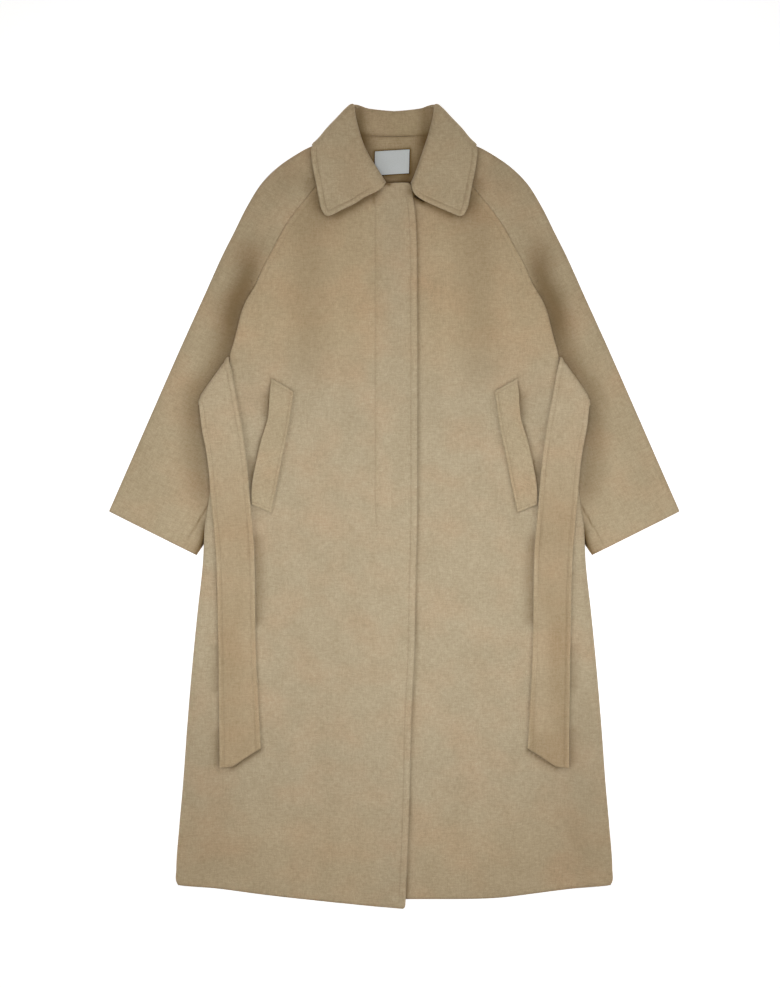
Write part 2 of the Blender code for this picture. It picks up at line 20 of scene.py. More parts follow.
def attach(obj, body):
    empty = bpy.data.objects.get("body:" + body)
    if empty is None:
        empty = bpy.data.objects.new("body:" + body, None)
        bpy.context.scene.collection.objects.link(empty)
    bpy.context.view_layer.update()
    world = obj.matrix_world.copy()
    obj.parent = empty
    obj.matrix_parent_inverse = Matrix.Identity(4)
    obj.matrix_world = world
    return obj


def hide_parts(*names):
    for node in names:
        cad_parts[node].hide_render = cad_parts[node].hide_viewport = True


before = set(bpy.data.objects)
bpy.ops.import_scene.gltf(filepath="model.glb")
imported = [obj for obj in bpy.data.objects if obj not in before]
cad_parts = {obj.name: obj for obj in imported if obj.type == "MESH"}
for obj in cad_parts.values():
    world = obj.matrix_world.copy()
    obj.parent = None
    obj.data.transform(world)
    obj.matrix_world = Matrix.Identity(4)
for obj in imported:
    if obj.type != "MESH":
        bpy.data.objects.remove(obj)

LOG = logging.getLogger("long_coat")
Array = np.ndarray
MM = 0.001
# Steps between the places of a line, and between those that distances are taken from.
LINE_STEP = 3.0
COARSE_STEP = 6.0
# Thread is laid on the cloth from this height in metres, and stays this far over it.
PROBE_HEIGHT = 1.0
THREAD_LIFT = 0.05
# Farther than any two places of the coat.
FAR = 1e4


class Place(NamedTuple):
    """A place on the surface that the coat lies on."""

    x: float
    y: float


Places = tuple[tuple[float, float], ...]


class Rung(NamedTuple):
    """One crossing of a band of cloth, from its outer edge to its inner edge."""

    outer_x: float
    outer_y: float
    inner_x: float
    inner_y: float


class Crease(NamedTuple):
    """A soft ridge or hollow along a straight line, with its half width and its height."""

    x0: float
    y0: float
    x1: float
    y1: float
    reach: float
    height: float


class Side(Enum):
    """The wearer's side, as the sign of x."""

    RIGHT = -1
    LEFT = 1

    @property
    def word(self) -> str:
        """The side as it stands in a piece's name."""
        return self.name.lower()


class Layer(Enum):
    """Whether a half of a sleeve lies on top or underneath."""

    FRONT = "front"
    BACK = "back"


def soft_step(value: Array | float, start: float = 0.0, reach: float = 1.0) -> Array:
    """A soft step from 0 at its start to 1 at the end of its reach."""
    share = np.clip((value - start) / reach, 0.0, 1.0)
    return share * share * (3.0 - 2.0 * share)


def fade(value: Array | float, start: float = 0.0, reach: float = 1.0) -> Array:
    """A soft step from 1 at its start to 0 at the end of its reach."""
    return 1.0 - soft_step(value, start, reach)


def bell(distance: Array | float, width: float) -> Array:
    """A smooth bump of height 1 round a distance of 0."""
    return np.exp(-((distance / width) ** 2))


def quarter_round(distance: Array, reach: float) -> Array:
    """The height of a quarter ellipse, from 0 at its edge to 1 where it is level."""
    share = 1.0 - np.clip(distance / reach, 0.0, 1.0)
    return np.sqrt(np.clip(1.0 - share * share, 0.0, 1.0))


def darker(shade: Array, more: Array | float) -> Array:
    """A shade with another one laid over it."""
    return 1 - (1 - shade) * (1 - more)


def cubic(share: Array, run: Array | float, ends: Sequence[Array], slopes: Sequence[Array]) -> Array:
    """Places on a cubic curve.

    Args:
        share: Shares of the way from its start to its end.
        run: How far apart the two are.
        ends: Its start and its end.
        slopes: Its slope at each.

    Returns:
        The places.
    """
    t = share
    return (
        (2 * t**3 - 3 * t**2 + 1) * ends[0]
        + (t**3 - 2 * t**2 + t) * run * slopes[0]
        + (3 * t**2 - 2 * t**3) * ends[1]
        + (t**3 - t**2) * run * slopes[1]
    )


# The roll line starts here, and the lap draws it aside by the shift.
ROLL_FOOT = Place(19.0, 485.0)
NECK_SHIFT = 6.0


def centre_shift(x: Array | float) -> Array:
    """How far the lap draws the neck's front ends towards the wearer's left."""
    return NECK_SHIFT * fade(np.abs(x), start=ROLL_FOOT.x, reach=30.0)


def marks(length: float, near_start: Sequence[float], near_end: Sequence[float], count: int) -> Array:
    """Distances along a line, close together near its ends.

    Args:
        length: Length of the line.
        near_start: Distances from the start.
        near_end: Distances from the end.
        count: How many more lie evenly between.

    Returns:
        The distances, rising from the first to the last.
    """
    needed = (near_start[-1] + near_end[-1]) * 1.25
    scale = min(1.0, length / needed)
    start = np.array(near_start) * scale
    end = length - np.array(near_end)[::-1] * scale
    between = np.linspace(start[-1], end[0], count + 2)[1:-1]
    return np.concatenate([start, between, end])


class Line:
    """A smooth line through a few places."""

    def __init__(self, knots: Sequence[Sequence[float]], corners: Sequence[int] = ()) -> None:
        """Draws the line.

        Args:
            knots: Places that the line goes through.
            corners: Numbers of the places at which it turns sharply.
        """
        breaks = [0, *corners, len(knots) - 1]
        parts = []
        for first, last in zip(breaks, breaks[1:]):
            parts.append(self._smoothed(np.array(knots[first : last + 1], float))[:-1])
        parts.append(np.array([knots[-1]], float))
        self._measure(np.vstack(parts))

    def _measure(self, places: Array) -> None:
        """Keeps the places with their distances from the start.

        Args:
            places: Places on the line.
        """
        self.places = places
        runs = np.hypot(*np.diff(places, axis=0).T)
        self.run = np.concatenate([[0.0], np.cumsum(runs)])
        self.length = float(self.run[-1])

    @staticmethod
    def _smoothed(knots: Array) -> Array:
        """A curve of cubic pieces through the knots.

        Args:
            knots: Places, two or more.

        Returns:
            Places a few millimetres apart.
        """
        if len(knots) == 2:
            return knots
        chord = np.hypot(*np.diff(knots, axis=0).T)
        slope = np.diff(knots, axis=0) / chord[:, None]
        turn = np.empty_like(knots)
        turn[0], turn[-1] = slope[0], slope[-1]
        before, after = chord[:-1, None], chord[1:, None]
        turn[1:-1] = (slope[:-1] * after + slope[1:] * before) / (before + after)
        curve = []
        for index, run in enumerate(chord):
            t = np.linspace(0.0, 1.0, max(3, int(run / LINE_STEP)), endpoint=False)[:, None]
            curve.append(cubic(t, run, knots[index : index + 2], turn[index : index + 2]))
        curve.append(knots[-1:])
        return np.vstack(curve)

    def at(self, share: Array | float) -> Array:
        """Places at shares of the length, with x and y on the last axis."""
        target = np.asarray(share, float) * self.length
        return np.stack([np.interp(target, self.run, axis) for axis in self.places.T], axis=-1)

    def mirrored(self, side: Side) -> "Line":
        """The same line on a side of the coat, from a line on the half towards +X."""
        return Line.through(self.places * np.array([side.value, 1.0]))

    def shifted(self) -> "Line":
        """The line as the lap draws it across near the neck's front."""
        x, y = self.places.T
        return Line.through(np.stack([x + centre_shift(x), y], axis=1))

    def part(self, start: float, end: float) -> "Line":
        """The stretch between two shares of the length."""
        count = max(4, int((end - start) * self.length / LINE_STEP))
        return Line.through(self.at(np.linspace(start, end, count)))

    def beside(self, distance: float) -> "Line":
        """A line beside this one.

        Args:
            distance: How far it lies to the left of this one.

        Returns:
            The line.
        """
        ahead = np.gradient(self.places, axis=0)
        ahead /= np.linalg.norm(ahead, axis=1)[:, None]
        across = np.stack([-ahead[:, 1], ahead[:, 0]], axis=1)
        return Line.through(self.places + distance * across)

    def width_at(self, y: Array) -> Array:
        """The line's x at a height, for a line that runs from the neck down."""
        return np.interp(-np.asarray(y, float), -self.places[:, 1], self.places[:, 0])

    def distance(self, x: Array, y: Array) -> Array:
        """Distances from places to the line.

        Args:
            x: The places' x.
            y: The places' y.

        Returns:
            The distances, in the shape of x.
        """
        step = max(1, int(COARSE_STEP * len(self.places) / max(self.length, 1.0)))
        points = np.vstack([self.places[:-1:step], self.places[-1:]])
        nearest = np.full(np.shape(x), np.inf)
        for start, end in zip(points, points[1:]):
            run = end - start
            size = float(run @ run)
            if size == 0.0:
                continue
            share = np.clip(((x - start[0]) * run[0] + (y - start[1]) * run[1]) / size, 0.0, 1.0)
            away = np.hypot(x - start[0] - share * run[0], y - start[1] - share * run[1])
            nearest = np.minimum(nearest, away)
        return nearest

    @classmethod
    def through(cls, places: Array) -> "Line":
        """A line straight through many places.

        Args:
            places: The places.

        Returns:
            The line.
        """
        line = cls.__new__(cls)
        line._measure(np.asarray(places, float))
        return line


class Shadow(NamedTuple):
    """A soft darkening along a line, alike on both sides of the coat unless it says otherwise."""

    line: Line
    reach: float
    strength: float
    power: float = 1.0
    both: bool = True


def shaded(x: Array, y: Array, shadows: Sequence[Shadow]) -> Array:
    """How dark soft shadows make places.

    Args:
        x: The places' x.
        y: The places' y.
        shadows: The shadows.

    Returns:
        Shares from 0 to 1, in the shape of x.
    """
    light = np.ones(np.shape(x))
    for shadow in shadows:
        away = shadow.line.distance(np.abs(x) if shadow.both else x, y)
        light = light * (1.0 - shadow.strength * np.exp(-((away / shadow.reach) ** shadow.power)))
    return 1.0 - light


@dataclass(frozen=True)
class Patch:
    """A piece of cloth between four lines. Rows run from left to right, from the top down."""

    top: Line
    bottom: Line
    left: Line
    right: Line

    def places(self, across: Array, down: Array) -> Array:
        """Places at shares across and down the patch.

        Args:
            across: Shares from the left line to the right one.
            down: Shares from the top line to the bottom one.

        Returns:
            The places, with x and y on the last axis.
        """
        u, v = across[..., None], down[..., None]
        ruled = (1 - v) * self.top.at(across) + v * self.bottom.at(across)
        ruled = ruled + (1 - u) * self.left.at(down) + u * self.right.at(down)
        corners = (1 - u) * (1 - v) * self.top.at(0.0) + u * (1 - v) * self.top.at(1.0)
        corners = corners + (1 - u) * v * self.bottom.at(0.0) + u * v * self.bottom.at(1.0)
        return ruled - corners

    def grid(self, rims: "Rims", columns: int, row_step: float) -> Array:
        """Places in rows and columns that are close together along the rims.

        Args:
            rims: Distances from each line at which there is a row or a column.
            columns: How many more columns lie between those.
            row_step: Distance between the other rows.

        Returns:
            The places, as rows by columns by two.
        """
        tall = (self.left.length + self.right.length) / 2
        free = tall - rims.top[-1] - rims.bottom[-1]
        down = marks(tall, rims.top, rims.bottom, max(2, int(free / row_step))) / tall
        rows = []
        for share in down:
            wide = float(np.linalg.norm(self.right.at(share) - self.left.at(share)))
            rows.append(marks(wide, rims.left, rims.right, columns) / wide)
        across = np.array(rows)
        return self.places(across, np.repeat(down[:, None], across.shape[1], axis=1))

    @classmethod
    def between(cls, left: Line, right: Line) -> "Patch":
        """A patch between two lines, with straight ends."""
        top, bottom = (Line([left.places[end], right.places[end]]) for end in (0, -1))
        return cls(top, bottom, left, right)


# Distances from an edge of the cloth at which a grid has a row or a column.
SOFT_RIM = (0.0, 0.12, 0.45, 1.0, 1.8, 3.0, 4.6, 6.8, 9.6, 13.0)
FOLD_RIM = (0.0, 0.1, 0.4, 0.9, 1.7, 2.8, 4.3, 6.2, 8.5, 11.5, 15.5, 21.0, 28.0, 37.0)
STITCH_RIM = (
    0.0, 0.12, 0.45, 1.0, 1.9, 3.1, 4.5, 5.9, 7.1, 8.2, 9.2, 10.0, 10.8, 11.8, 13.2, 15.4, 19.0, 24.0,
)
FLY_RIM = (
    *STITCH_RIM, 31.0, 38.0, 45.0, 51.0, 54.5, 56.5, 58.0, 59.2, 60.2, 61.2, 62.2, 63.2, 64.4, 66.2,
    69.0, 73.0,
)
NECK_RIM = (*SOFT_RIM, *range(15, 90, 2))
LABEL_RIM = (0.0, 0.1, 0.4, 0.9, 1.6, 2.6, 4.0)
SASH_RIM = (0.0, 0.12, 0.45, 1.0, 2.0, 3.4, 4.8, 6.0, 7.0, 8.0, 9.4, 12.0)
# The line at which the collar turns over, from the front end to the shoulder.
COLLAR_ROLL: Places = (
    (19.5, 484), (25.5, 496), (33.7, 512), (41.7, 529), (49, 547.8), (54.6, 566.6), (58.8, 583.5),
    (60.6, 596), (61.5, 603),
)


@dataclass(frozen=True)
class Rims:
    """Distances from a patch's four lines at which its grid has a row or a column."""

    top: Sequence[float] = SOFT_RIM
    bottom: Sequence[float] = SOFT_RIM
    left: Sequence[float] = SOFT_RIM
    right: Sequence[float] = SOFT_RIM


def smoothed_cover(height: Array, spread: int, passes: int) -> Array:
    """The height at which stiff cloth bridges what it lies on.

    Args:
        height: Height of what is underneath, in rows and columns.
        spread: How many neighbours the cloth can't dip between.
        passes: How often the result is softened.

    Returns:
        A smooth height that is nowhere under the given one by much.
    """
    cover = height
    for _ in range(spread):
        padded = np.pad(cover, 1, mode="edge")
        for rows in (slice(0, -2), slice(2, None), slice(1, -1)):
            for columns in (slice(0, -2), slice(2, None), slice(1, -1)):
                cover = np.maximum(cover, padded[rows, columns])
    for _ in range(passes):
        padded = np.pad(cover, 1, mode="edge")
        around = padded[:-2, 1:-1] + padded[2:, 1:-1] + padded[1:-1, :-2] + padded[1:-1, 2:]
        cover = np.maximum((cover * 2 + around) / 6, height)
    return cover


@dataclass(frozen=True)
class Outline:
    """The coat's outline and seams, on the half towards +X."""

    back_neck: Place = Place(57.5, 557)
    front_neck: Place = Place(74, 536)
    shoulder_neck: Place = Place(77, 567)
    raglan: Places = ((98, 506), (125, 472), (156.5, 432), (168.5, 413), (181, 389), (197, 358), (210, 329))
    side: Places = (
        (223, 306), (229, 290), (233.5, 272), (238.5, 252), (246, 224), (247, 200), (253, 160),
        (265, 105), (272.5, 50), (277.5, 10), (283, -25), (286, -80), (294.5, -158), (303, -245),
        (310.5, -335), (316.5, -418), (322, -480), (326.6, -545), (326.5, -562), (323.6, -568.2),
    )
    shoulder: Places = (
        (107.5, 545), (124.2, 539.3), (148, 526.6), (171.5, 510.8), (198.5, 484.4), (219.5, 451.2),
        (241, 408.3), (254.5, 381.8), (284.1, 316.6), (314.1, 250.4), (371.3, 120.6), (427.5, -7.6),
    )
    tucked: Places = (
        (191, 302), (179, 270), (175.5, 236), (183, 194), (198, 151), (222, 92), (249, 29), (269, -20),
        (285.6, -56), (297, -73),
    )

    def body(self) -> Line:
        """The front's outer edge, from the neck to the hem."""
        return Line([self.front_neck, *self.raglan, *self.side])

    def back_body(self) -> Line:
        """The back's outer edge, from the neck to the hem."""
        return Line([self.back_neck, self.front_neck, *self.raglan, *self.side])

    def sleeve_outer(self) -> Line:
        """The sleeve's outer fold, from the neck to the cuff."""
        return Line([self.shoulder_neck, *self.shoulder])

    def sleeve_inner(self, layer: Layer) -> Line:
        """The sleeve's raglan seam and its edge tucked under the body."""
        start = [self.front_neck] if layer is Layer.FRONT else [self.back_neck, self.front_neck]
        return Line([*start, *self.raglan, *self.tucked], corners=[len(start) + len(self.raglan) - 1])


@dataclass
class Relief:
    """Heights of the middle of each layer over the surface that the coat lies on."""

    outline: Outline = Outline()
    cloth: float = 2.0
    collar: float = 2.4
    belt: float = 3.2
    gap: float = 0.35
    side_half: float = 4.3
    side_half_pressed: float = 2.7
    side_reach: float = 12.0
    sleeve_half: float = 3.9
    sleeve_reach: float = 10.0
    rolled_share: float = 0.6
    underarm: float = 329.0
    cuff: float = -66.0
    collar_hem: float = 520.0
    collar_hem_rise: float = 27.0
    collar_hem_half: float = 121.0
    run_middle: float = 222.0
    run_slope: float = 0.11
    run_half: float = 28.0
    waist: float = 195.0
    waist_half: float = 30.0
    lap_start: float = -80.0
    lap_loft: float = 1.3
    neck_rise: float = 2.2
    sleeve_puff: float = 5.2
    front_creases: tuple[Crease, ...] = (
        Crease(150, 400, 112, 250, 34, 1.7),
        Crease(92, 60, 118, -250, 44, 1.5),
        Crease(150, -180, 178, -560, 56, 2.0),
        Crease(262, -240, 290, -560, 34, 1.4),
        Crease(72, -330, 84, -580, 46, 1.4),
        Crease(205, 300, 150, 235, 26, 1.0),
    )
    sleeve_creases: tuple[Crease, ...] = (
        Crease(228, 410, 262, 300, 26, 1.4),
        Crease(300, 235, 352, 120, 30, 1.8),
        Crease(330, 80, 380, 0, 28, 1.4),
    )

    def __post_init__(self) -> None:
        """Draws the lines that the heights are measured from."""
        self.lines = {
            "body": self.outline.body(),
            "sleeve_outer": self.outline.sleeve_outer(),
            "tucked": self.outline.sleeve_inner(Layer.FRONT),
            "raglan": Line([self.outline.front_neck, *self.outline.raglan]),
            "roll": Line(COLLAR_ROLL),
        }

    @property
    def step(self) -> float:
        """How far one layer of cloth lifts the next."""
        return self.cloth + self.gap

    def over_collar(self, x: Array, y: Array) -> Array:
        """Lift of the neck and shoulders over the collar's back half."""
        hem = self.collar_hem + self.collar_hem_rise * (x / self.collar_hem_half) ** 2
        return (self.collar + self.gap) * fade(hem - y, start=16.0, reach=40.0)

    def over_sleeve(self, x: Array, y: Array, rest: float = 22.0, ramp: float = 54.0) -> Array:
        """Lift of the body, or of the belt's run, over the sleeve tucked under its side.

        Args:
            x: Places across.
            y: Places along.
            rest: How far past the sleeve's edge the lift stays whole.
            ramp: Over how far it then falls.

        Returns:
            The lift at each place.
        """
        inward = self.lines["tucked"].width_at(y) - np.abs(x)
        below_raglan = fade(y, start=self.underarm, reach=103.0)
        above_cuff = fade(self.cuff - y, reach=60.0)
        return 2 * self.step * fade(inward, rest, ramp) * below_raglan * above_cuff

    def over_belt(self, x: Array, y: Array) -> Array:
        """Lift of the body over the belt's run behind the back."""
        away = np.abs(y - self.run_middle + self.run_slope * np.abs(x)) - self.run_half
        return (self.belt + self.gap) * fade(away, start=10.0, reach=82.0)

    def creases(self, x: Array, y: Array, lines: Sequence[Crease]) -> Array:
        """Height of the soft ridges at places, alike on both sides of the coat.

        Args:
            x: Places across.
            y: Places along.
            lines: The ridges.

        Returns:
            The height at each place.
        """
        height = np.zeros(np.shape(x))
        for crease in lines:
            line = Line([(crease.x0, crease.y0), (crease.x1, crease.y1)])
            height = height + crease.height * fade(line.distance(np.abs(x), y), reach=crease.reach)
        return height

    def ripple(self, x: Array, y: Array, seed: float) -> Array:
        """Very low waves that keep a large panel from looking ironed.

        Args:
            x: Places across.
            y: Places along.
            seed: Moves the waves, so that each panel has its own.

        Returns:
            Heights from 0 to about 1.
        """
        waves = np.sin(x / 47.0 + 1.3 * np.sin(y / 90.0 + seed) + seed)
        waves = waves + 0.8 * np.sin(y / 61.0 + 1.1 * np.sin(x / 70.0 - seed) + 2.0 * seed)
        waves = waves + 0.5 * np.sin((x + 0.6 * y) / 29.0 + 3.0 * seed)
        return 0.5 + 0.22 * waves

    def neck_loft(self, x: Array, y: Array) -> Array:
        """Loft of the top layer beside the collar's roll line.

        Args:
            x: Places across.
            y: Places along.

        Returns:
            The loft at each place.
        """
        roll = self.lines["roll"].places
        beside = np.abs(x) - np.interp(y, roll[:, 1], roll[:, 0])
        below = np.hypot(np.maximum(np.abs(x) - ROLL_FOOT.x, 0.0), ROLL_FOOT.y - y)
        return self.neck_rise * fade(np.where(y >= ROLL_FOOT.y, beside, below), reach=80.0)

    def side_curl(self, y: Array) -> Array:
        """How far the side edge is folded: not along the raglan seam, fully below it."""
        return soft_step(self.underarm + 14.0 - y, reach=60.0)

    def side_rise(self, y: Array) -> Array:
        """Half the height of the side fold, which the belt presses flatter."""
        pressed = fade(np.abs(y - self.waist), start=self.waist_half, reach=60.0)
        return self.side_half + (self.side_half_pressed - self.side_half) * pressed

    def back(self, x: Array, y: Array) -> Array:
        """Middle of the back's cloth."""
        lifts = self.over_collar(x, y) + self.over_sleeve(x, y) + self.over_belt(x, y)
        return self.cloth / 2 + lifts

    def lap(self, x: Array) -> Array:
        """Lift of the right front over the left one."""
        return (self.step + self.lap_loft) * soft_step(x, start=self.lap_start, reach=48.0)

    def front(self, x: Array, y: Array, side: Side) -> Array:
        """Middle of a front's cloth, without the roll of its side edge.

        Args:
            x: Places across.
            y: Places along.
            side: Which front.

        Returns:
            The height at each place.
        """
        away = self.lines["body"].distance(np.abs(x), y)
        rise = 2 * self.side_rise(y) - self.step
        loft = rise * fade(away, start=self.side_reach * self.rolled_share, reach=52.0)
        height = self.back(x, y) + self.step + self.neck_loft(x, y) + loft * self.side_curl(y)
        height = height + self.creases(x, y, self.front_creases)
        height = height + 0.9 * self.ripple(x, y, 0.7 * side.value) * soft_step(away, reach=40.0)
        return height + self.lap(x) if side is Side.RIGHT else height

    def seam_lift(self, x: Array, y: Array) -> Array:
        """How far a sleeve rises to the body's edge along the low end of the raglan seam.

        Args:
            x: Places across.
            y: Places along.

        Returns:
            The lift at each place.
        """
        away = self.lines["raglan"].distance(np.abs(x), y)
        lift = self.over_sleeve(self.lines["body"].width_at(y), y)
        return lift * fade(away, reach=36.0) * soft_step(y, start=321.0, reach=19.0)

    def sleeve_back(self, x: Array, y: Array) -> Array:
        """Middle of the sleeve's lower cloth."""
        return self.cloth / 2 + self.over_collar(x, y) + self.seam_lift(x, y)

    def sleeve_front(self, x: Array, y: Array) -> Array:
        """Middle of the sleeve's upper cloth, without the roll of its outer edge.

        Args:
            x: Places across.
            y: Places along.

        Returns:
            The height at each place.
        """
        wide = np.abs(x)
        outer = self.lines["sleeve_outer"].distance(wide, y)
        body = self.lines["body"].distance(wide, y)
        outside = np.where(wide > self.lines["body"].width_at(y), body, 0.0)
        rise = 2 * self.sleeve_half - self.step
        loft = rise * fade(outer, start=self.sleeve_reach * self.rolled_share, reach=60.0)
        loft = np.maximum(loft, self.neck_loft(x, y))
        puff = self.sleeve_puff * soft_step(outer, reach=46.0) * soft_step(outside, reach=58.0)
        folds = self.creases(x, y, self.sleeve_creases) + 0.8 * self.ripple(x, y, 2.1)
        return self.sleeve_back(x, y) + self.step + loft + puff + folds * soft_step(outside, reach=30.0)


class Value:
    """A number that varies over a surface, as an output of the material's nodes."""

    def __init__(self, bench: "MaterialBench", socket: bpy.types.NodeSocket) -> None:
        """Wraps an output socket of a bench's tree."""
        self.bench = bench
        self.socket = socket

    def _with(self, operation: str, first: object, second: object) -> "Value":
        """A Math node of two values."""
        node = self.bench.node("ShaderNodeMath", {0: first, 1: second}, operation=operation)
        return Value(self.bench, node.outputs[0])

    def __add__(self, other: "Value | float") -> "Value":
        """The sum."""
        return self._with("ADD", self, other)

    def __radd__(self, other: float) -> "Value":
        """The sum, with the number first."""
        return self._with("ADD", other, self)

    def __sub__(self, other: "Value | float") -> "Value":
        """The difference."""
        return self._with("SUBTRACT", self, other)

    def __rsub__(self, other: float) -> "Value":
        """The difference, with the number first."""
        return self._with("SUBTRACT", other, self)

    def __mul__(self, other: "Value | float") -> "Value":
        """The product."""
        return self._with("MULTIPLY", self, other)

    def __rmul__(self, other: float) -> "Value":
        """The product, with the number first."""
        return self._with("MULTIPLY", other, self)

    def clamped(self) -> "Value":
        """The value held between 0 and 1."""
        node = self.bench.node("ShaderNodeClamp", {"Value": self})
        return Value(self.bench, node.outputs[0])


class NodeBench:
    """Adds nodes to a tree and links them."""

    tree: bpy.types.NodeTree

    def node(self, kind: str, inputs: dict[object, object], **settings: object) -> bpy.types.Node:
        """Adds a node.

        Args:
            kind: The node's type.
            inputs: Values or links of its sockets, by name or number.
            settings: Its settings, set before its sockets.

        Returns:
            The node.
        """
        node = self.tree.nodes.new(kind)
        for name, setting in settings.items():
            setattr(node, name, setting)
        for socket, value in inputs.items():
            self.feed(node.inputs[socket], value)
        return node

    def feed(self, socket: bpy.types.NodeSocket, value: object) -> None:
        """Links or sets a socket.

        Args:
            socket: The input socket.
            value: A value or link for it.
        """
        if isinstance(value, Value):
            value = value.socket
        if isinstance(value, bpy.types.NodeSocket):
            self.tree.links.new(value, socket)
        else:
            socket.default_value = value


class MaterialBench(NodeBench):
    """Builds one material's node tree."""

    def __init__(self, name: str) -> None:
        """Starts a material with a shader and nothing else.

        Args:
            name: The material's name.
        """
        self.material = bpy.data.materials.new(name)
        self.material.use_nodes = True
        self.tree = self.material.node_tree
        self.shader = self.tree.nodes["Principled BSDF"]

    def attribute(self, name: str) -> Value:
        """A number stored on the mesh's points."""
        return Value(self, self.node("ShaderNodeAttribute", {}, attribute_name=name).outputs["Fac"])

    def noise(self, across: float, along: float, detail: float, roughness: float) -> Value:
        """Cloudy noise on the cloth.

        Args:
            across: Cells to a metre of the cloth's width.
            along: Cells to a metre of its length.
            detail: How many finer layers it has.
            roughness: How strong those are.

        Returns:
            The noise, about 0.5.
        """
        uv = self.node("ShaderNodeUVMap", {}, uv_map="cloth")
        places = self.node("ShaderNodeMapping", {"Vector": uv.outputs[0], "Scale": (across, along, 1.0)})
        inputs = {"Vector": places.outputs[0], "Scale": 1.0, "Detail": detail, "Roughness": roughness}
        node = self.node("ShaderNodeTexNoise", inputs, noise_dimensions="2D")
        return Value(self, node.outputs["Fac"])

    def grain(self, scale: float) -> Value:
        """Fine noise in the object's own space, with so many cells to a metre."""
        inputs = {"Vector": self.node("ShaderNodeTexCoord", {}).outputs["Object"], "Scale": scale}
        return Value(self, self.node("ShaderNodeTexNoise", inputs).outputs["Fac"])

    def mix(self, factor: object, first: object, second: object, blend: str = "MIX") -> bpy.types.NodeSocket:
        """A mix of two colours.

        Args:
            factor: Share of the second colour.
            first: The first colour.
            second: The second colour.
            blend: How they are combined.

        Returns:
            The colour's socket.
        """
        inputs = {0: factor, 6: first, 7: second}
        return self.node("ShaderNodeMix", inputs, data_type="RGBA", blend_type=blend).outputs[2]

    def bump(self, height: Value, depth: float, strength: float) -> bpy.types.NodeSocket:
        """Fine relief.

        Args:
            height: Where it is high and low.
            depth: How far it rises, in metres.
            strength: How much of that counts.

        Returns:
            The normal's socket.
        """
        inputs = {"Height": height, "Distance": depth, "Strength": strength}
        return self.node("ShaderNodeBump", inputs).outputs[0]

    def finished(self, inputs: dict[str, object]) -> bpy.types.Material:
        """Finishes the material.

        Args:
            inputs: Values or links of the shader's sockets, by name.

        Returns:
            The material.
        """
        for name, value in inputs.items():
            self.feed(self.shader.inputs[name], value)
        return self.material


Colour = tuple[float, float, float, float]


@dataclass(frozen=True)
class NappedWool:
    """Thick wool cloth with a short brushed nap that all but hides its weave."""

    name: str
    body: Colour = (0.418, 0.330, 0.203, 1.0)
    deep: Colour = (0.342, 0.260, 0.148, 1.0)
    pale: Colour = (0.500, 0.400, 0.256, 1.0)
    warm: Colour = (0.452, 0.324, 0.192, 1.0)
    # Colours of painted shade: the shadow colour and, for the darkest gaps, a near-black one.
    shadow: Colour = (0.128, 0.068, 0.014, 1.0)
    deepest_shade: Colour = (0.022, 0.013, 0.004, 1.0)
    # Multiplies in the painted warm tint where less light falls.
    glow: Colour = (1.045, 0.99, 0.92, 1.0)
    sheen: Colour = (1.0, 0.9, 0.74, 1.0)
    roughness: float = 0.88
    nap_depth: float = 0.0007
    deepest_shade_start: float = 0.87

    def made(self) -> bpy.types.Material:
        """Builds the material.

        Returns:
            The material.
        """
        bench = MaterialBench(self.name)
        fleck = bench.noise(620.0, 620.0, 2.0, 0.6)
        fibre = bench.noise(210.0, 210.0, 2.0, 0.55)
        weft = bench.noise(90.0, 430.0, 2.0, 0.55)
        warp = bench.noise(430.0, 90.0, 2.0, 0.55)
        cloud = bench.noise(26.0, 20.0, 3.0, 0.6)
        tint = bench.noise(13.0, 17.0, 2.0, 0.5)
        tone = 0.5 + (fleck - 0.5) * 0.8 + (fibre - 0.5) * 0.5 + (weft - 0.5) * 0.62 + (warp - 0.5) * 0.5
        tone = tone + (cloud - 0.5) * 0.42
        shade = bench.attribute("shade")
        colour = bench.mix(((tint - 0.42) * 2.6).clamped(), self.body, self.warm)
        colour = bench.mix(((0.5 - tone) * 2.2).clamped(), colour, self.deep)
        colour = bench.mix(((tone - 0.5) * 2.2).clamped(), colour, self.pale)
        # Painted warm tint: multiplied in by the painted warmth attribute where less light falls.
        colour = bench.mix(bench.attribute("painted_warmth").clamped(), colour, self.glow, "MULTIPLY")
        # Painted shade: the shade attribute mixes in the shadow colour, and its highest values a near-black
        # colour as the deepest painted shade.
        colour = bench.mix(shade.clamped(), colour, self.shadow)
        colour = bench.mix(((shade - self.deepest_shade_start) * 8.0).clamped(), colour, self.deepest_shade)
        nap = fleck * 0.5 + fibre * 0.7 + weft * 0.35 + warp * 0.35
        return bench.finished({
            "Base Color": colour,
            "Roughness": (fibre - 0.5) * 0.2 + self.roughness,
            "Normal": bench.bump(nap, self.nap_depth, 0.75),
            "Specular IOR Level": 0.22,
            "Sheen Weight": 0.28,
            "Sheen Roughness": 0.5,
            "Sheen Tint": self.sheen,
        })


@dataclass(frozen=True)
class LabelSatin:
    """Blank woven satin of a neck label."""

    name: str = "label_satin"
    ground: Colour = (0.56, 0.57, 0.54, 1.0)
    rib: Colour = (0.47, 0.48, 0.45, 1.0)
    roughness: float = 0.36
    rib_depth: float = 0.0002

    def made(self) -> bpy.types.Material:
        """Builds the material.

        Returns:
            The material.
        """
        bench = MaterialBench(self.name)
        weft = bench.noise(300.0, 2600.0, 2.0, 0.5)
        wear = bench.noise(70.0, 70.0, 2.0, 0.5)
        colour = bench.mix(((weft - 0.4) * 1.6).clamped(), self.ground, self.rib)
        return bench.finished({
            "Base Color": bench.mix(bench.attribute("shade").clamped(), colour, self.rib),
            "Roughness": wear * 0.2 + self.roughness,
            "Normal": bench.bump(weft, self.rib_depth, 0.5),
            "Sheen Weight": 0.15,
        })


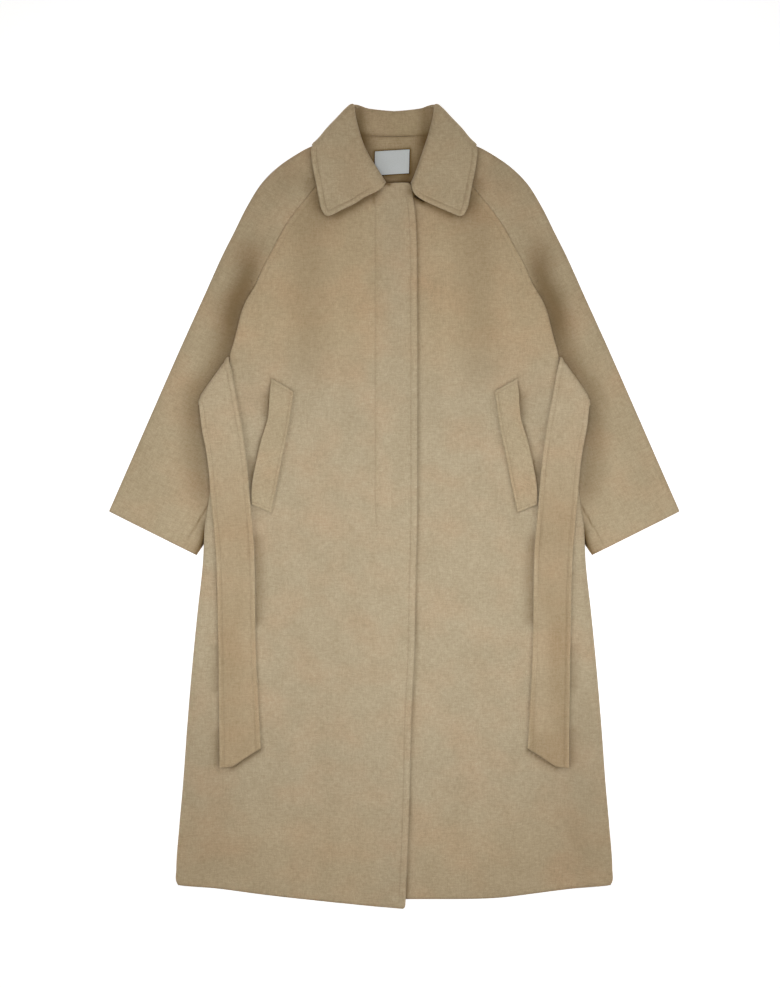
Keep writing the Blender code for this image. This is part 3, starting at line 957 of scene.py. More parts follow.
@dataclass(frozen=True)
class ThreadFinish:
    """Sewing thread a little deeper than the cloth."""

    name: str = "thread"
    colour: Colour = (0.300, 0.212, 0.110, 1.0)
    worn: Colour = (0.36, 0.262, 0.145, 1.0)

    def made(self) -> bpy.types.Material:
        """Builds the material.

        Returns:
            The material.
        """
        bench = MaterialBench(self.name)
        wear = (bench.grain(900.0) * 0.8).clamped()
        return bench.finished({"Base Color": bench.mix(wear, self.colour, self.worn), "Roughness": 0.6})


@dataclass(frozen=True)
class PaleFloor:
    """Plain near-white paper that the coat lies on."""

    name: str = "floor_paper"
    colour: Colour = (0.60, 0.60, 0.60, 1.0)
    fleck: Colour = (0.50, 0.50, 0.495, 1.0)
    light: Colour = (1.0, 1.0, 1.0, 1.0)
    glow: float = 0.78

    def made(self) -> bpy.types.Material:
        """Builds the material.

        Returns:
            The material.
        """
        bench = MaterialBench(self.name)
        return bench.finished({
            "Base Color": bench.mix(bench.grain(260.0), self.colour, self.fleck),
            "Roughness": 0.95,
            "Specular IOR Level": 0.0,
            "Emission Color": self.light,
            "Emission Strength": self.glow,
        })


def placed(name: str, data: bpy.types.ID) -> bpy.types.Object:
    """Places a new object in the scene.

    Args:
        name: Its name.
        data: Its mesh, light or camera.

    Returns:
        The object.
    """
    piece = bpy.data.objects.new(name, data)
    bpy.context.scene.collection.objects.link(piece)
    return piece


class Cut(NamedTuple):
    """The sheet of cloth that a piece was cut from, in metres, and what it rests on."""

    size: tuple[float, float]
    area: float
    rests_on: tuple[str, ...] = ()


@dataclass
class ClothShell:
    """A closed shell of cloth round a grid of places on its middle surface."""

    name: str
    node: str
    slot: str
    cut: Cut
    places: Array
    thickness: float
    roundness: tuple[float, float, float, float] = (1.0, 1.0, 1.0, 1.0)
    relief: Array | None = None
    shade: Array | None = None
    grain: float = 0.0
    # Painted warm tint at each place, where less light falls.
    painted_warmth: Array | None = None

    def _edge_distances(self) -> tuple[Array, Array, Array, Array]:
        """How far each place is from the cloth's edges.

        Returns:
            Distances along the cloth from the top, bottom, left and right edges.
        """
        down = np.linalg.norm(np.diff(self.places, axis=0), axis=2)
        across = np.linalg.norm(np.diff(self.places, axis=1), axis=2)
        down = np.concatenate([np.zeros((1, down.shape[1])), np.cumsum(down, axis=0)], axis=0)
        across = np.concatenate([np.zeros((across.shape[0], 1)), np.cumsum(across, axis=1)], axis=1)
        return down, down[-1:] - down, across, across[:, -1:] - across

    def faces_up(self) -> float:
        """Which way the grid's rows and columns turn.

        Returns:
            1 if its first rows face up, else -1.
        """
        first = self.places[: max(4, len(self.places) // 12)]
        normal = np.cross(np.gradient(first, axis=1), np.gradient(first, axis=0))
        return 1.0 if normal[..., 2].sum() > 0 else -1.0

    def normals(self) -> Array:
        """Which way the cloth's face looks.

        Returns:
            Unit normals of the middle surface.
        """
        normal = np.cross(np.gradient(self.places, axis=1), np.gradient(self.places, axis=0))
        normal = normal / np.maximum(np.linalg.norm(normal, axis=2, keepdims=True), 1e-9)
        return normal * self.faces_up()

    def cloth_map(self) -> Array:
        """Lays the places out on the flat cloth, turned to its grain.

        Returns:
            Places on the cloth, in metres.
        """
        turn = math.radians(self.grain)
        x, y = self.places[..., 0], self.places[..., 1]
        rise = 0.7 * self.places[..., 2]
        u = x * math.cos(turn) + y * math.sin(turn) + rise
        v = y * math.cos(turn) - x * math.sin(turn) + rise
        return np.stack([u, v], axis=2) * MM

    def made(self, material: bpy.types.Material) -> bpy.types.Object:
        """Builds the piece.

        Args:
            material: The cloth's finish.

        Returns:
            The piece's object, with its place in its mesh.
        """
        half = np.full(self.places.shape[:2], self.thickness / 2)
        for distance, reach in zip(self._edge_distances(), self.roundness):
            half = half * quarter_round(distance, reach)
        rows, columns = half.shape
        normal = self.normals()
        relief = np.zeros_like(half) if self.relief is None else self.relief
        share = half / (self.thickness / 2)
        upper = self.places + normal * (half + relief * share)[..., None]
        lower = self.places - normal * half[..., None]
        rim = np.zeros((rows, columns), bool)
        rim[[0, -1]] = True
        rim[:, [0, -1]] = True
        number = np.arange(rows * columns).reshape(rows, columns)
        under = number.copy()
        under[~rim] = rows * columns + np.arange(int((~rim).sum()))
        points = np.vstack([upper.reshape(-1, 3), lower[~rim]]) * MM
        mesh = bpy.data.meshes.new(self.name)
        quads = self._quads(number, self.faces_up() > 0) + self._quads(under, self.faces_up() < 0)
        mesh.from_pydata(points.tolist(), [], quads)
        self._store(mesh, rim)
        mesh.shade_smooth()
        mesh.materials.append(material)
        return placed(self.name, mesh)

    @staticmethod
    def _quads(number: Array, forward: bool) -> list[list[int]]:
        """Faces of a grid.

        Args:
            number: Numbers of its points, in rows and columns.
            forward: Whether they aren't turned over.

        Returns:
            Point numbers of each face.
        """
        corners = [number[:-1, :-1], number[:-1, 1:], number[1:, 1:], number[1:, :-1]]
        quads = np.stack(corners if forward else corners[::-1], axis=-1)
        return quads.reshape(-1, 4).tolist()

    def _store(self, mesh: bpy.types.Mesh, rim: Array) -> None:
        """Writes the flat cloth's places, the painted shade and the painted warm tint to the mesh.

        Args:
            mesh: The piece's mesh.
            rim: Which points of the grid both faces share.
        """
        flat = self.cloth_map()
        places = np.vstack([flat.reshape(-1, 2), flat[~rim]])
        corners = np.empty(len(mesh.loops), np.int32)
        mesh.loops.foreach_get("vertex_index", corners)
        layer = mesh.uv_layers.new(name="cloth")
        layer.data.foreach_set("uv", places[corners].ravel().astype(np.float32))
        for name, painted in (("shade", self.shade), ("painted_warmth", self.painted_warmth)):
            painted = np.zeros(rim.shape) if painted is None else painted
            values = np.concatenate([painted.ravel(), painted[~rim]])
            stored = mesh.attributes.new(name, "FLOAT", "POINT")
            stored.data.foreach_set("value", values.astype(np.float32))


def laid_on(piece: bpy.types.Object, lines: Sequence[Line]) -> list[list[Vector]]:
    """Lays lines on a finished piece, as seen from above.

    Args:
        piece: The piece.
        lines: The lines.

    Returns:
        Each line's points in metres, a little over the cloth. Places beside the piece are left out.
    """
    cloth = BVHTree.FromPolygons(
        [vertex.co for vertex in piece.data.vertices],
        [tuple(face.vertices) for face in piece.data.polygons],
    )
    laid = []
    for line in lines:
        points = []
        for x, y in line.at(np.linspace(0, 1, max(3, int(line.length / LINE_STEP)))):
            hit = cloth.ray_cast(Vector((x * MM, y * MM, PROBE_HEIGHT)), Vector((0, 0, -1)))[0]
            if hit is not None:
                points.append(Vector((x * MM, y * MM, hit.z + THREAD_LIFT * MM)))
        laid.append(points)
    return laid


@dataclass
class Tailor:
    """Hangs each finished piece under the root body's empty and logs it."""

    body: str = "root"

    def hand_over(self, piece: bpy.types.Object) -> bpy.types.Object:
        """Hangs a piece under the root body's empty.

        Args:
            piece: The finished piece.

        Returns:
            The piece.
        """
        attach(piece, self.body)
        LOG.info("%s: %d faces", piece.name, len(piece.data.polygons))
        return piece

    def sew(self, shell: ClothShell, material: bpy.types.Material) -> bpy.types.Object:
        """Makes a piece of cloth, hangs it under the root body's empty, and hides the solid it stands for.

        Args:
            shell: The cloth.
            material: Its finish.

        Returns:
            The piece.
        """
        piece = self.hand_over(shell.made(material))
        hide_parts(shell.node)
        return piece


@dataclass
class CoatBack:
    """The back, cut in one piece to the raglan seams."""

    relief: Relief
    shadows: Sequence[Shadow] = ()
    cut: Cut = Cut((0.655, 1.139), 0.582, ("floor",))
    neck_sag: float = 1.5
    hem_lift: float = 3.0
    hem: Places = ((170, -576), (0, -582))
    side_end: float = 0.9976

    def shell(self) -> ClothShell:
        """Shapes the back.

        Returns:
            Its cloth.
        """
        edge = self.relief.outline.back_body()
        neck = self.relief.outline.back_neck
        top = Line([(-neck.x, neck.y), (0, neck.y - self.neck_sag), (neck.x, neck.y)])
        wide, low = edge.places[-1]
        half = [(wide, low + self.hem_lift), *self.hem]
        hem = Line([(-x, y) for x, y in half] + half[-2::-1])
        side = edge.part(0.0, self.side_end)
        rims = Rims(top=NECK_RIM, left=FOLD_RIM, right=FOLD_RIM)
        patch = Patch(top, hem, side.mirrored(Side.RIGHT), side)
        flat = patch.grid(rims, columns=58, row_step=6.0)
        x, y = flat[..., 0], flat[..., 1]
        away = side.distance(np.abs(x), y)
        curl = self.relief.side_rise(y) * self.relief.side_curl(y)
        z = self.relief.back(x, y) + curl * (1 - quarter_round(away, self.relief.side_reach * 0.75))
        return ClothShell(
            "back_panel",
            "back",
            "wool_inside",
            self.cut,
            np.dstack([x, y, z]),
            self.relief.cloth,
            shade=shaded(x, y, self.shadows),
        )


@dataclass
class CoatFront:
    """One front, from the raglan and side edge to the closing edge."""

    relief: Relief
    side: Side
    pocket: "PocketWelt"
    cut: Cut
    shadows: Sequence[Shadow] = ()
    stitch_in: float = 10.0
    raglan_stitch_in: float = 8.5
    mouth_depth: float = 1.3
    lap_neck: Places = ((-66, 517), (-48, 497), (-30, 487.5), (-12, 485))
    lap_top: Places = ((4, 485.6), (17, 485.8), (22.5, 484.8), (25.4, 481.5))
    lap_edge: Places = (
        (27.6, 467), (31.5, 440), (33.0, 415), (34.4, 300), (34.7, 100), (34.8, 0), (32.0, -140),
        (30.2, -230), (27.2, -285), (22.0, -470), (19.8, -530), (17.6, -575),
        (16.8, -594), (15.9, -601.2), (13.2, -603.7),
    )
    lap_hem: Places = ((-276.5, -572.4), (-201.5, -582), (-156.5, -587.3), (-36.5, -599.4))
    under_neck: Places = ((67, 517), (52, 498), (28, 484.5), (-8, 480.5))
    under_edge: Places = ((-27, 479.5), (-27, -589.4))
    under_hem: Places = ((271, -573.3), (214.8, -580.4), (154, -587.6), (60, -589.4))
    fly: Places = (
        (-28.6, 468), (-28.6, 300), (-28.6, 100), (-28.2, 0), (-27.0, -20), (-23.8, -33), (-17.0, -42),
    )

    def closing_edge(self) -> Line:
        """The right front's visible edge, from the neck to the hem."""
        return Line([self.lap_top[-1], *self.lap_edge])

    def stitch_lines(self) -> list[Line]:
        """The lines of topstitching on this front, seen from above.

        Returns:
            The lines.
        """
        raglan = self.relief.lines["raglan"].mirrored(self.side)
        lines = [raglan.beside(-self.side.value * self.raglan_stitch_in).part(0.16, 0.9)]
        if self.side is Side.RIGHT:
            lines.append(self.closing_edge().beside(-self.stitch_in).part(0.012, 0.992))
            lines.append(Line(self.fly))
        return lines

    def _patch(self) -> Patch:
        """Draws the front's four edges.

        Returns:
            The front between them.
        """
        outer = self.relief.lines["body"].mirrored(self.side)
        start, corner = outer.places[0], outer.places[-1]
        if self.side is Side.RIGHT:
            top = Line([start, *self.lap_neck, *self.lap_top])
            inner = self.closing_edge()
            hem = Line([corner, *self.lap_hem, self.lap_edge[-1]])
        else:
            top = Line([start, *self.under_neck, self.under_edge[0]])
            inner = Line(self.under_edge)
            hem = Line([corner, *self.under_hem, self.under_edge[-1]])
        return Patch(top, hem, outer, inner)

    def shell(self) -> ClothShell:
        """Shapes the front.

        Returns:
            Its cloth.
        """
        patch = self._patch()
        rims = Rims(left=FOLD_RIM, right=FLY_RIM if self.side is Side.RIGHT else SOFT_RIM)
        flat = patch.grid(rims, columns=48, row_step=4.2)
        x, y = flat[..., 0], flat[..., 1]
        away = patch.left.distance(x, y)
        curl = self.relief.side_rise(y) * self.relief.side_curl(y)
        z = self.relief.front(x, y, self.side)
        z = z - curl * (1 - quarter_round(away, self.relief.side_reach))
        mouth = self.pocket.mouth(x, y)
        # Painted warm tint on the chest and towards the hem, where less light falls, kept off the middle.
        painted_warmth = soft_step(y, start=150.0, reach=140.0) + 0.55 * soft_step(-390.0 - y, reach=140.0)
        return ClothShell(
            "front_panel_" + self.side.word,
            "front_" + self.side.word,
            "wool",
            self.cut,
            np.dstack([x, y, z]),
            self.relief.cloth,
            (1.3, 1.5, 1.1, 1.2),
            self._sewn(x, y, patch) - self.mouth_depth * mouth,
            self._shade(x, y, patch, mouth),
            painted_warmth=painted_warmth * (1 - 0.75 * bell(x - 4.0, 34.0)),
        )

    def _shade(self, x: Array, y: Array, patch: Patch, mouth: Array) -> Array:
        """Painted shade in the front's folds, seams and stitch lines, along the hem, in the pocket's mouth
        and beside the lap's edge.

        Args:
            x: Places across.
            y: Places along.
            patch: The front between its edges.
            mouth: How deep the pocket's mouth is.

        Returns:
            The shade at each place.
        """
        shade = darker(shaded(x, y, self.shadows), 0.8 * mouth)
        for line in self.stitch_lines():
            shade = shade + 0.1 * bell(line.distance(x, y), 1.0)
        shade = darker(shade, 0.3 * bell(patch.bottom.distance(x, y), 2.2))
        if self.side is Side.RIGHT:
            return shade
        under_lap = self.closing_edge().distance(x, y)
        depth = 0.3 + 0.22 * soft_step(y, start=150.0, reach=200.0) + 0.35 * soft_step(-510.0 - y, reach=50.0)
        return darker(shade, depth * np.exp(-under_lap / 3.0))

    def _sewn(self, x: Array, y: Array, patch: Patch) -> Array:
        """Height that seams and topstitching add to the cloth or press into it.

        Args:
            x: Places across.
            y: Places along.
            patch: The front between its edges.

        Returns:
            The added height.
        """
        added = np.zeros_like(x)
        for line in self.stitch_lines():
            away = line.distance(x, y)
            added = added - 0.8 * bell(away, 1.5) - 0.15 * bell(away, 5.0)
        raglan = self.relief.lines["raglan"].distance(np.abs(x), y)
        added = added + 0.8 * bell(raglan - 4.2, 3.0)
        if self.side is Side.RIGHT:
            pucker = 1 + 0.35 * np.sin(y / 5.3 + np.sin(y / 17.0)) + 0.2 * np.sin(y / 2.9)
            edge = patch.right.distance(x, y)
            added = added + 0.7 * soft_step(x, start=-29.0, reach=4.0)
            added = added + 0.15 * fade(edge, start=6.0, reach=3.0)
            added = added + 0.25 * bell(edge - 4.6, 3.6) * pucker
        hem = patch.bottom.distance(x, y)
        return added + 0.35 * bell(hem - 7.0, 7.0)


@dataclass
class Sleeve:
    """A raglan sleeve in two halves, with its inner edge tucked under the body."""

    relief: Relief
    side: Side
    cut: Cut = Cut((0.17, 0.69), 0.0705, ("floor",))
    shadows: Sequence[Shadow] = ()
    grain: float = 26.0
    # Painted shade in a band beside the body's fold: its reach, its line and its depth down the sleeve.
    band_reach: float = 21.0
    seam: Places = ((278.5, 4.3), (288, -11.5), (298, -28.8), (306, -43), (313, -57))
    band: Places = (
        (214, 410), (218, 377), (219.5, 352), (225, 332), (237, 308), (243, 287), (247.5, 257),
        (254.5, 232), (273.5, 202), (296, 172), (300, 145), (299.5, 107), (297, 66), (292, 32), (288, 5),
    )
    band_depth: Places = (
        (-14, 0.0), (6, 0.15), (26, 0.32), (50, 0.35), (92, 0.36), (120, 0.39), (160, 0.42), (200, 0.46),
        (245, 0.6), (285, 0.73), (330, 0.73), (362, 0.61), (385, 0.36), (403, 0.11), (418, 0.0),
    )

    def _flat(self, layer: Layer) -> tuple[Array, Patch]:
        """Draws a half between its four edges.

        Args:
            layer: Which half.

        Returns:
            Its grid of places from above, and its patch.
        """
        outline = self.relief.outline
        patch = Patch.between(outline.sleeve_outer(), outline.sleeve_inner(layer))
        return patch.grid(Rims(left=FOLD_RIM), columns=42, row_step=4.2), patch

    def half(self, layer: Layer) -> ClothShell:
        """Shapes a half of the sleeve.

        Args:
            layer: Which half.

        Returns:
            Its cloth.
        """
        flat, patch = self._flat(layer)
        wide, y = flat[..., 0], flat[..., 1]
        x = wide * self.side.value
        away = patch.left.distance(wide, y)
        roll = self.relief.sleeve_half * (1 - quarter_round(away, self.relief.sleeve_reach))
        if layer is Layer.FRONT:
            z = self.relief.sleeve_front(x, y) - roll
            raised, shade = self._face(wide, y)
            # Painted shade along the outer fold and the cuff, where the edge turns away from the light.
            rim = np.minimum(away, patch.bottom.distance(wide, y))
            shade = darker(shade, 0.2 * bell(rim, 2.2))
        else:
            z = self.relief.sleeve_back(x, y) + roll
            raised, shade = None, None
        name = f"sleeve_{self.side.word}_{layer.value}"
        return ClothShell(
            name + "_cloth",
            name,
            "wool" if layer is Layer.FRONT else "wool_inside",
            self.cut,
            np.dstack([x, y, z]),
            self.relief.cloth,
            (1.2, 1.6, 1.0, 1.2),
            raised,
            shade,
            self.grain * self.side.value,
        )

    def _face(self, wide: Array, y: Array) -> tuple[Array, Array]:
        """Relief and shade of the upper half.

        Args:
            wide: Places across, as distances from the coat's middle line.
            y: Places along.

        Returns:
            The added height, and the shade in the seam and beside the body's fold.
        """
        seam = Line(self.seam).distance(wide, y)
        raised = -1.2 * bell(seam, 1.7) + 0.4 * bell(seam - 5.0, 3.0)
        raglan = self.relief.lines["raglan"].distance(wide, y)
        raised = raised + 0.4 * bell(raglan - 3.4, 2.8)
        # Painted shade: the band beside the body's fold, the underarm seam and the painted shadows.
        depth = np.interp(y, *zip(*self.band_depth))
        reach = self.band_reach - 5.0 * bell(y - 193.0, 30.0)
        beside = depth * np.exp(-((Line(self.band).distance(wide, y) / reach) ** 2.2))
        in_seam = 0.62 * bell(seam, 1.3) * (1 - 0.7 * soft_step(-15.0 - y, reach=45.0))
        return raised, darker(darker(beside, in_seam), shaded(wide, y, self.shadows))


@dataclass
class NeckBand:
    """A band round the neck: a flat front half on each side, folded back under itself."""

    roll: Line
    edge: Line
    front_end: dict[Side, Line]
    fold: Line
    back_roll: Line
    back_edge: Line
    roll_reach: float
    fold_reach: float
    upper: Callable[[Array, Array, Side], Array]
    lower: Callable[[Array, Array], Array]
    roll_level: Callable[[Array, Array, Side], Array]
    back_level: Callable[[Array, Array], Array]
    edge_rim: Sequence[float] = STITCH_RIM

    def _half(self, side: Side) -> Array:
        """The middle surface of one side, from the front end to the back's middle.

        Args:
            side: Which side.

        Returns:
            Places, as rows by columns by three.
        """
        sign = side.value
        rims = Rims(top=self.edge_rim, bottom=FOLD_RIM[:9], left=FOLD_RIM[:10], right=self.edge_rim)
        front = Patch(self.front_end[side], self.fold, self.roll, self.edge)
        flat = front.grid(rims, columns=14, row_step=4.0)
        x, y = flat[..., 0], flat[..., 1]
        moved = sign * x + centre_shift(x)
        top = self.upper(moved, y, side)
        z = self._bent(flat, self.roll, top, self.lower(sign * x, y), self.roll_level(moved, y, side))
        wing = np.dstack([moved, y, z])

        middle = Line([self.back_roll.places[-1], self.back_edge.places[-1]])
        back = Patch(self.fold, middle, self.back_roll, self.back_edge)
        rims = Rims(top=FOLD_RIM[:9], bottom=(0.0,), left=FOLD_RIM[:10], right=self.edge_rim)
        flat = back.grid(rims, columns=14, row_step=5.0)
        x, y = flat[..., 0], flat[..., 1]
        top_at_fold = np.interp(y, wing[-1, ::-1, 1], top[-1, ::-1])
        low = self.lower(sign * x, y)
        z = self._bent(flat, self.back_roll, low, top_at_fold, self.back_level(sign * x, y))
        return np.concatenate([wing, np.dstack([sign * x, y, z])[1:]], axis=0)

    def _bent(self, flat: Array, roll: Line, level: Array, across_fold: Array, at_roll: Array) -> Array:
        """Bends a stretch of the band at its fold and its roll line.

        Args:
            flat: Its places from above.
            roll: Its roll line.
            level: Its height where it lies flat.
            across_fold: Height of the stretch on the fold's other side.
            at_roll: Height along the roll line.

        Returns:
            The height at each place.
        """
        x, y = flat[..., 0], flat[..., 1]
        folded = quarter_round(self.fold.distance(x, y), self.fold_reach)
        rolled = quarter_round(roll.distance(x, y), self.roll_reach)
        z = level + ((level + across_fold) / 2 - level) * (1 - folded)
        return z + folded * (1 - rolled) * (at_roll - level)

    def grid(self) -> Array:
        """The whole band's middle surface, from the right front end to the left one."""
        right, left = (self._half(side) for side in Side)
        return np.concatenate([right, left[-2::-1]], axis=0)


@dataclass
class Collar:
    """The turned-down collar and the stand that carries it."""

    relief: Relief
    wing_thickness: float = 3.0
    wing_foot: float = 6.0
    roll_loft: float = 4.6
    edge_loft: float = 3.2
    end_loft: float = 2.4
    outer_loft: float = 2.8
    roundness: tuple[float, float, float, float] = (1.4, 1.4, 1.2, 1.4)
    stitch_in: float = 8.0
    fall_cut: Cut = Cut((0.43, 0.13), 0.0351, ("front_panel_right", "front_panel_left"))
    stand_cut: Cut = Cut((0.40, 0.036), 0.0096, ("back_panel",))
    right_lower_edge: Places = (
        (19.5, 484), (21.5, 479.2), (28, 472.9), (41, 464.9), (60.8, 452.9), (79.5, 444.3), (93.5, 437.2),
        (99.5, 435.4), (104.2, 436.9),
    )
    left_lower_edge: Places = (
        (19.5, 484), (20, 478.4), (21.8, 472), (26, 467), (35.8, 461.3), (45.8, 457.2), (61, 450.4),
        (76, 444), (83.5, 440.9), (93.5, 436.7), (99.5, 435.3), (104.2, 436.9),
    )
    outer_edge: Places = (
        (104.2, 436.9), (108.8, 444.5), (113.4, 463), (117.6, 486), (120.6, 500), (123.2, 514),
        (124.6, 528), (124.2, 536), (122.8, 541.2),
    )
    fold: Places = (
        (61.5, 603), (65.8, 601.6), (71, 597.2), (83.8, 583.8), (101.4, 565.6), (113.8, 550.6),
        (119.4, 545.2), (122.8, 541.2),
    )
    back_roll: Places = ((61.5, 603), (54, 602.4), (42.5, 598.2), (21.5, 594.9), (0, 593))
    hidden_edge: Places = ((122.8, 541.2), (104, 537), (72, 530), (36, 524), (0, 522))
    stand_roll: Places = (
        (20.6, 487), (35.4, 512.5), (43.6, 529.5), (50.9, 548.2), (56.2, 567), (59.6, 584),
        (58.6, 597.6),
    )
    stand_seam: Places = ((18.8, 485), (48.7, 498.5), (64.4, 518.2), (72.8, 536.6), (74.8, 551), (74.5, 567))
    stand_fold: Places = ((58.6, 597.6), (65, 586), (71, 576), (74.5, 567))
    stand_back_roll: Places = ((58.6, 597.6), (50, 599.2), (42.5, 597.2), (21.5, 594.2), (0, 592.4))
    stand_back_seam: Places = ((74.5, 567), (57.5, 557.6), (28, 556.3), (0, 555.9))

    def stand_upper(self, x: Array, y: Array, side: Side) -> Array:
        """Middle of the stand's cloth in front, under the wings.

        Args:
            x: Places across.
            y: Places along.
            side: Which side.

        Returns:
            The height at each place.
        """
        height = self.relief.cloth / 2 + self.relief.over_collar(x, y) + self.relief.step
        height = height + self.relief.neck_loft(x, y)
        return height + self.relief.lap(x) if side is Side.RIGHT else height

    def stand_lower(self, x: Array, y: Array) -> Array:
        """Middle of the stand's cloth behind the neck."""
        rise = 1.6 * soft_step(y, start=566.0, reach=26.0)
        return self.relief.cloth / 2 + self.relief.over_collar(x, y) + rise

    def fall_lower(self, x: Array, y: Array) -> Array:
        """Middle of the collar's hidden back half, flat on the surface that the coat lies on."""
        return np.full(np.shape(x), self.wing_thickness / 2)

    def wing_upper(self, x: Array, y: Array, side: Side) -> Array:
        """Middle of a wing's cloth, over the front and the sleeve's head.

        Args:
            x: Places across.
            y: Places along.
            side: Which wing.

        Returns:
            The height at each place.
        """
        wide = np.abs(x - centre_shift(x))
        under = np.maximum(self.relief.front(x, y, side), self.relief.sleeve_front(x, y))
        height = under + self.relief.cloth / 2 + self.relief.gap + self.wing_thickness / 2
        roll = Line(COLLAR_ROLL).distance(wide, y)
        height = height + self.roll_loft * fade(roll, start=6.0, reach=46.0)
        end_loft = self.edge_loft + self.end_loft * fade(wide, start=20.0, reach=60.0)
        lower = self.lower_edge(side).distance(wide, y)
        outer = Line(self.outer_edge).distance(wide, y)
        height = height + end_loft * bell(lower, 22.0) + self.outer_loft * bell(outer, 17.0)
        return smoothed_cover(height, spread=2, passes=10)

    def roll_level(self, x: Array, y: Array, side: Side) -> Array:
        """Height at which wing and stand meet along the roll line."""
        return self.stand_upper(x, y, side) + 0.6

    def back_level(self, x: Array, y: Array) -> Array:
        """Height at which the back half and the stand meet behind the neck."""
        return (self.fall_lower(x, y) + self.stand_lower(x, y)) / 2

    def fall_band(self) -> NeckBand:
        """Draws the collar's fall.

        Returns:
            Its band.
        """
        return NeckBand(
            roll=Line(COLLAR_ROLL),
            edge=Line(self.outer_edge),
            front_end={side: self.lower_edge(side) for side in Side},
            fold=Line(self.fold),
            back_roll=Line(self.back_roll),
            back_edge=Line(self.hidden_edge),
            roll_reach=9.0,
            fold_reach=9.0,
            upper=self.wing_upper,
            lower=self.fall_lower,
            roll_level=self.roll_level,
            back_level=self.back_level,
        )

    def stand_band(self) -> NeckBand:
        """Draws the collar's stand.

        Returns:
            Its band.
        """
        return NeckBand(
            roll=Line(self.stand_roll),
            edge=Line(self.stand_seam),
            front_end={side: Line([self.stand_roll[0], self.stand_seam[0]]) for side in Side},
            fold=Line(self.stand_fold),
            back_roll=Line(self.stand_back_roll),
            back_edge=Line(self.stand_back_seam),
            roll_reach=5.0,
            fold_reach=4.0,
            upper=self.stand_upper,
            lower=self.stand_lower,
            roll_level=self.stand_upper,
            back_level=self.back_level,
            edge_rim=SOFT_RIM,
        )

    def stitch_lines(self, side: Side) -> list[Line]:
        """The topstitching along a wing's free edges."""
        return [self.free_edge(side).beside(self.stitch_in).part(0.08, 0.985).mirrored(side).shifted()]

    def lower_edge(self, side: Side) -> Line:
        """A wing's lower edge, on the half towards +X."""
        return Line(self.right_lower_edge if side is Side.RIGHT else self.left_lower_edge)

    def free_edge(self, side: Side) -> Line:
        """A wing's free edge, from its front end round its tip to the shoulder."""
        return Line.through(np.vstack([self.lower_edge(side).places[:-1], Line(self.outer_edge).places]))

    def stand(self, shadows: Sequence[Shadow]) -> ClothShell:
        """Shapes the stand.

        Args:
            shadows: Soft shadows on it.

        Returns:
            Its cloth.
        """
        places = self.stand_band().grid()
        return ClothShell(
            "collar_stand_cloth",
            "collar_stand",
            "wool_inside",
            self.stand_cut,
            places,
            self.relief.cloth,
            self.roundness,
            shade=shaded(places[..., 0], places[..., 1], shadows),
        )

    def fall(self) -> ClothShell:
        """Shapes the fall.

        Returns:
            Its cloth.
        """
        places = self.fall_band().grid()
        return ClothShell(
            "collar_fall_cloth",
            "collar_fall",
            "wool",
            self.fall_cut,
            places,
            self.wing_thickness,
            self.roundness,
            *self._sewn(places),
        )

    def _sewn(self, places: Array) -> tuple[Array, Array]:
        """Relief and shade of the wings' topstitching, with the puff outside it.

        Args:
            places: The fall's middle surface.

        Returns:
            The added height and the shade.
        """
        x, y, z = places[..., 0], places[..., 1], places[..., 2]
        above = soft_step(z, start=self.wing_foot, reach=3.0)
        added = np.zeros_like(x)
        stitched = np.zeros_like(x)
        for side in Side:
            here = np.where(np.sign(x) == side.value, 1.0, 0.0)
            for line in self.stitch_lines(side):
                away = line.distance(x, y)
                added = added - here * (1.0 * bell(away, 1.4) + 0.2 * bell(away, 5.0))
                stitched = stitched + bell(away, 0.9)
        wide = np.abs(x - centre_shift(x))
        near = np.where(x < 0, *(self.free_edge(side).distance(wide, y) for side in Side))
        pucker = 1 + 0.3 * np.sin((x + y) / 4.1) + 0.2 * np.sin((x - y) / 2.7)
        added = added + 0.4 * fade(near, start=4.5, reach=3.0) * pucker
        return added * above, 0.14 * above * stitched


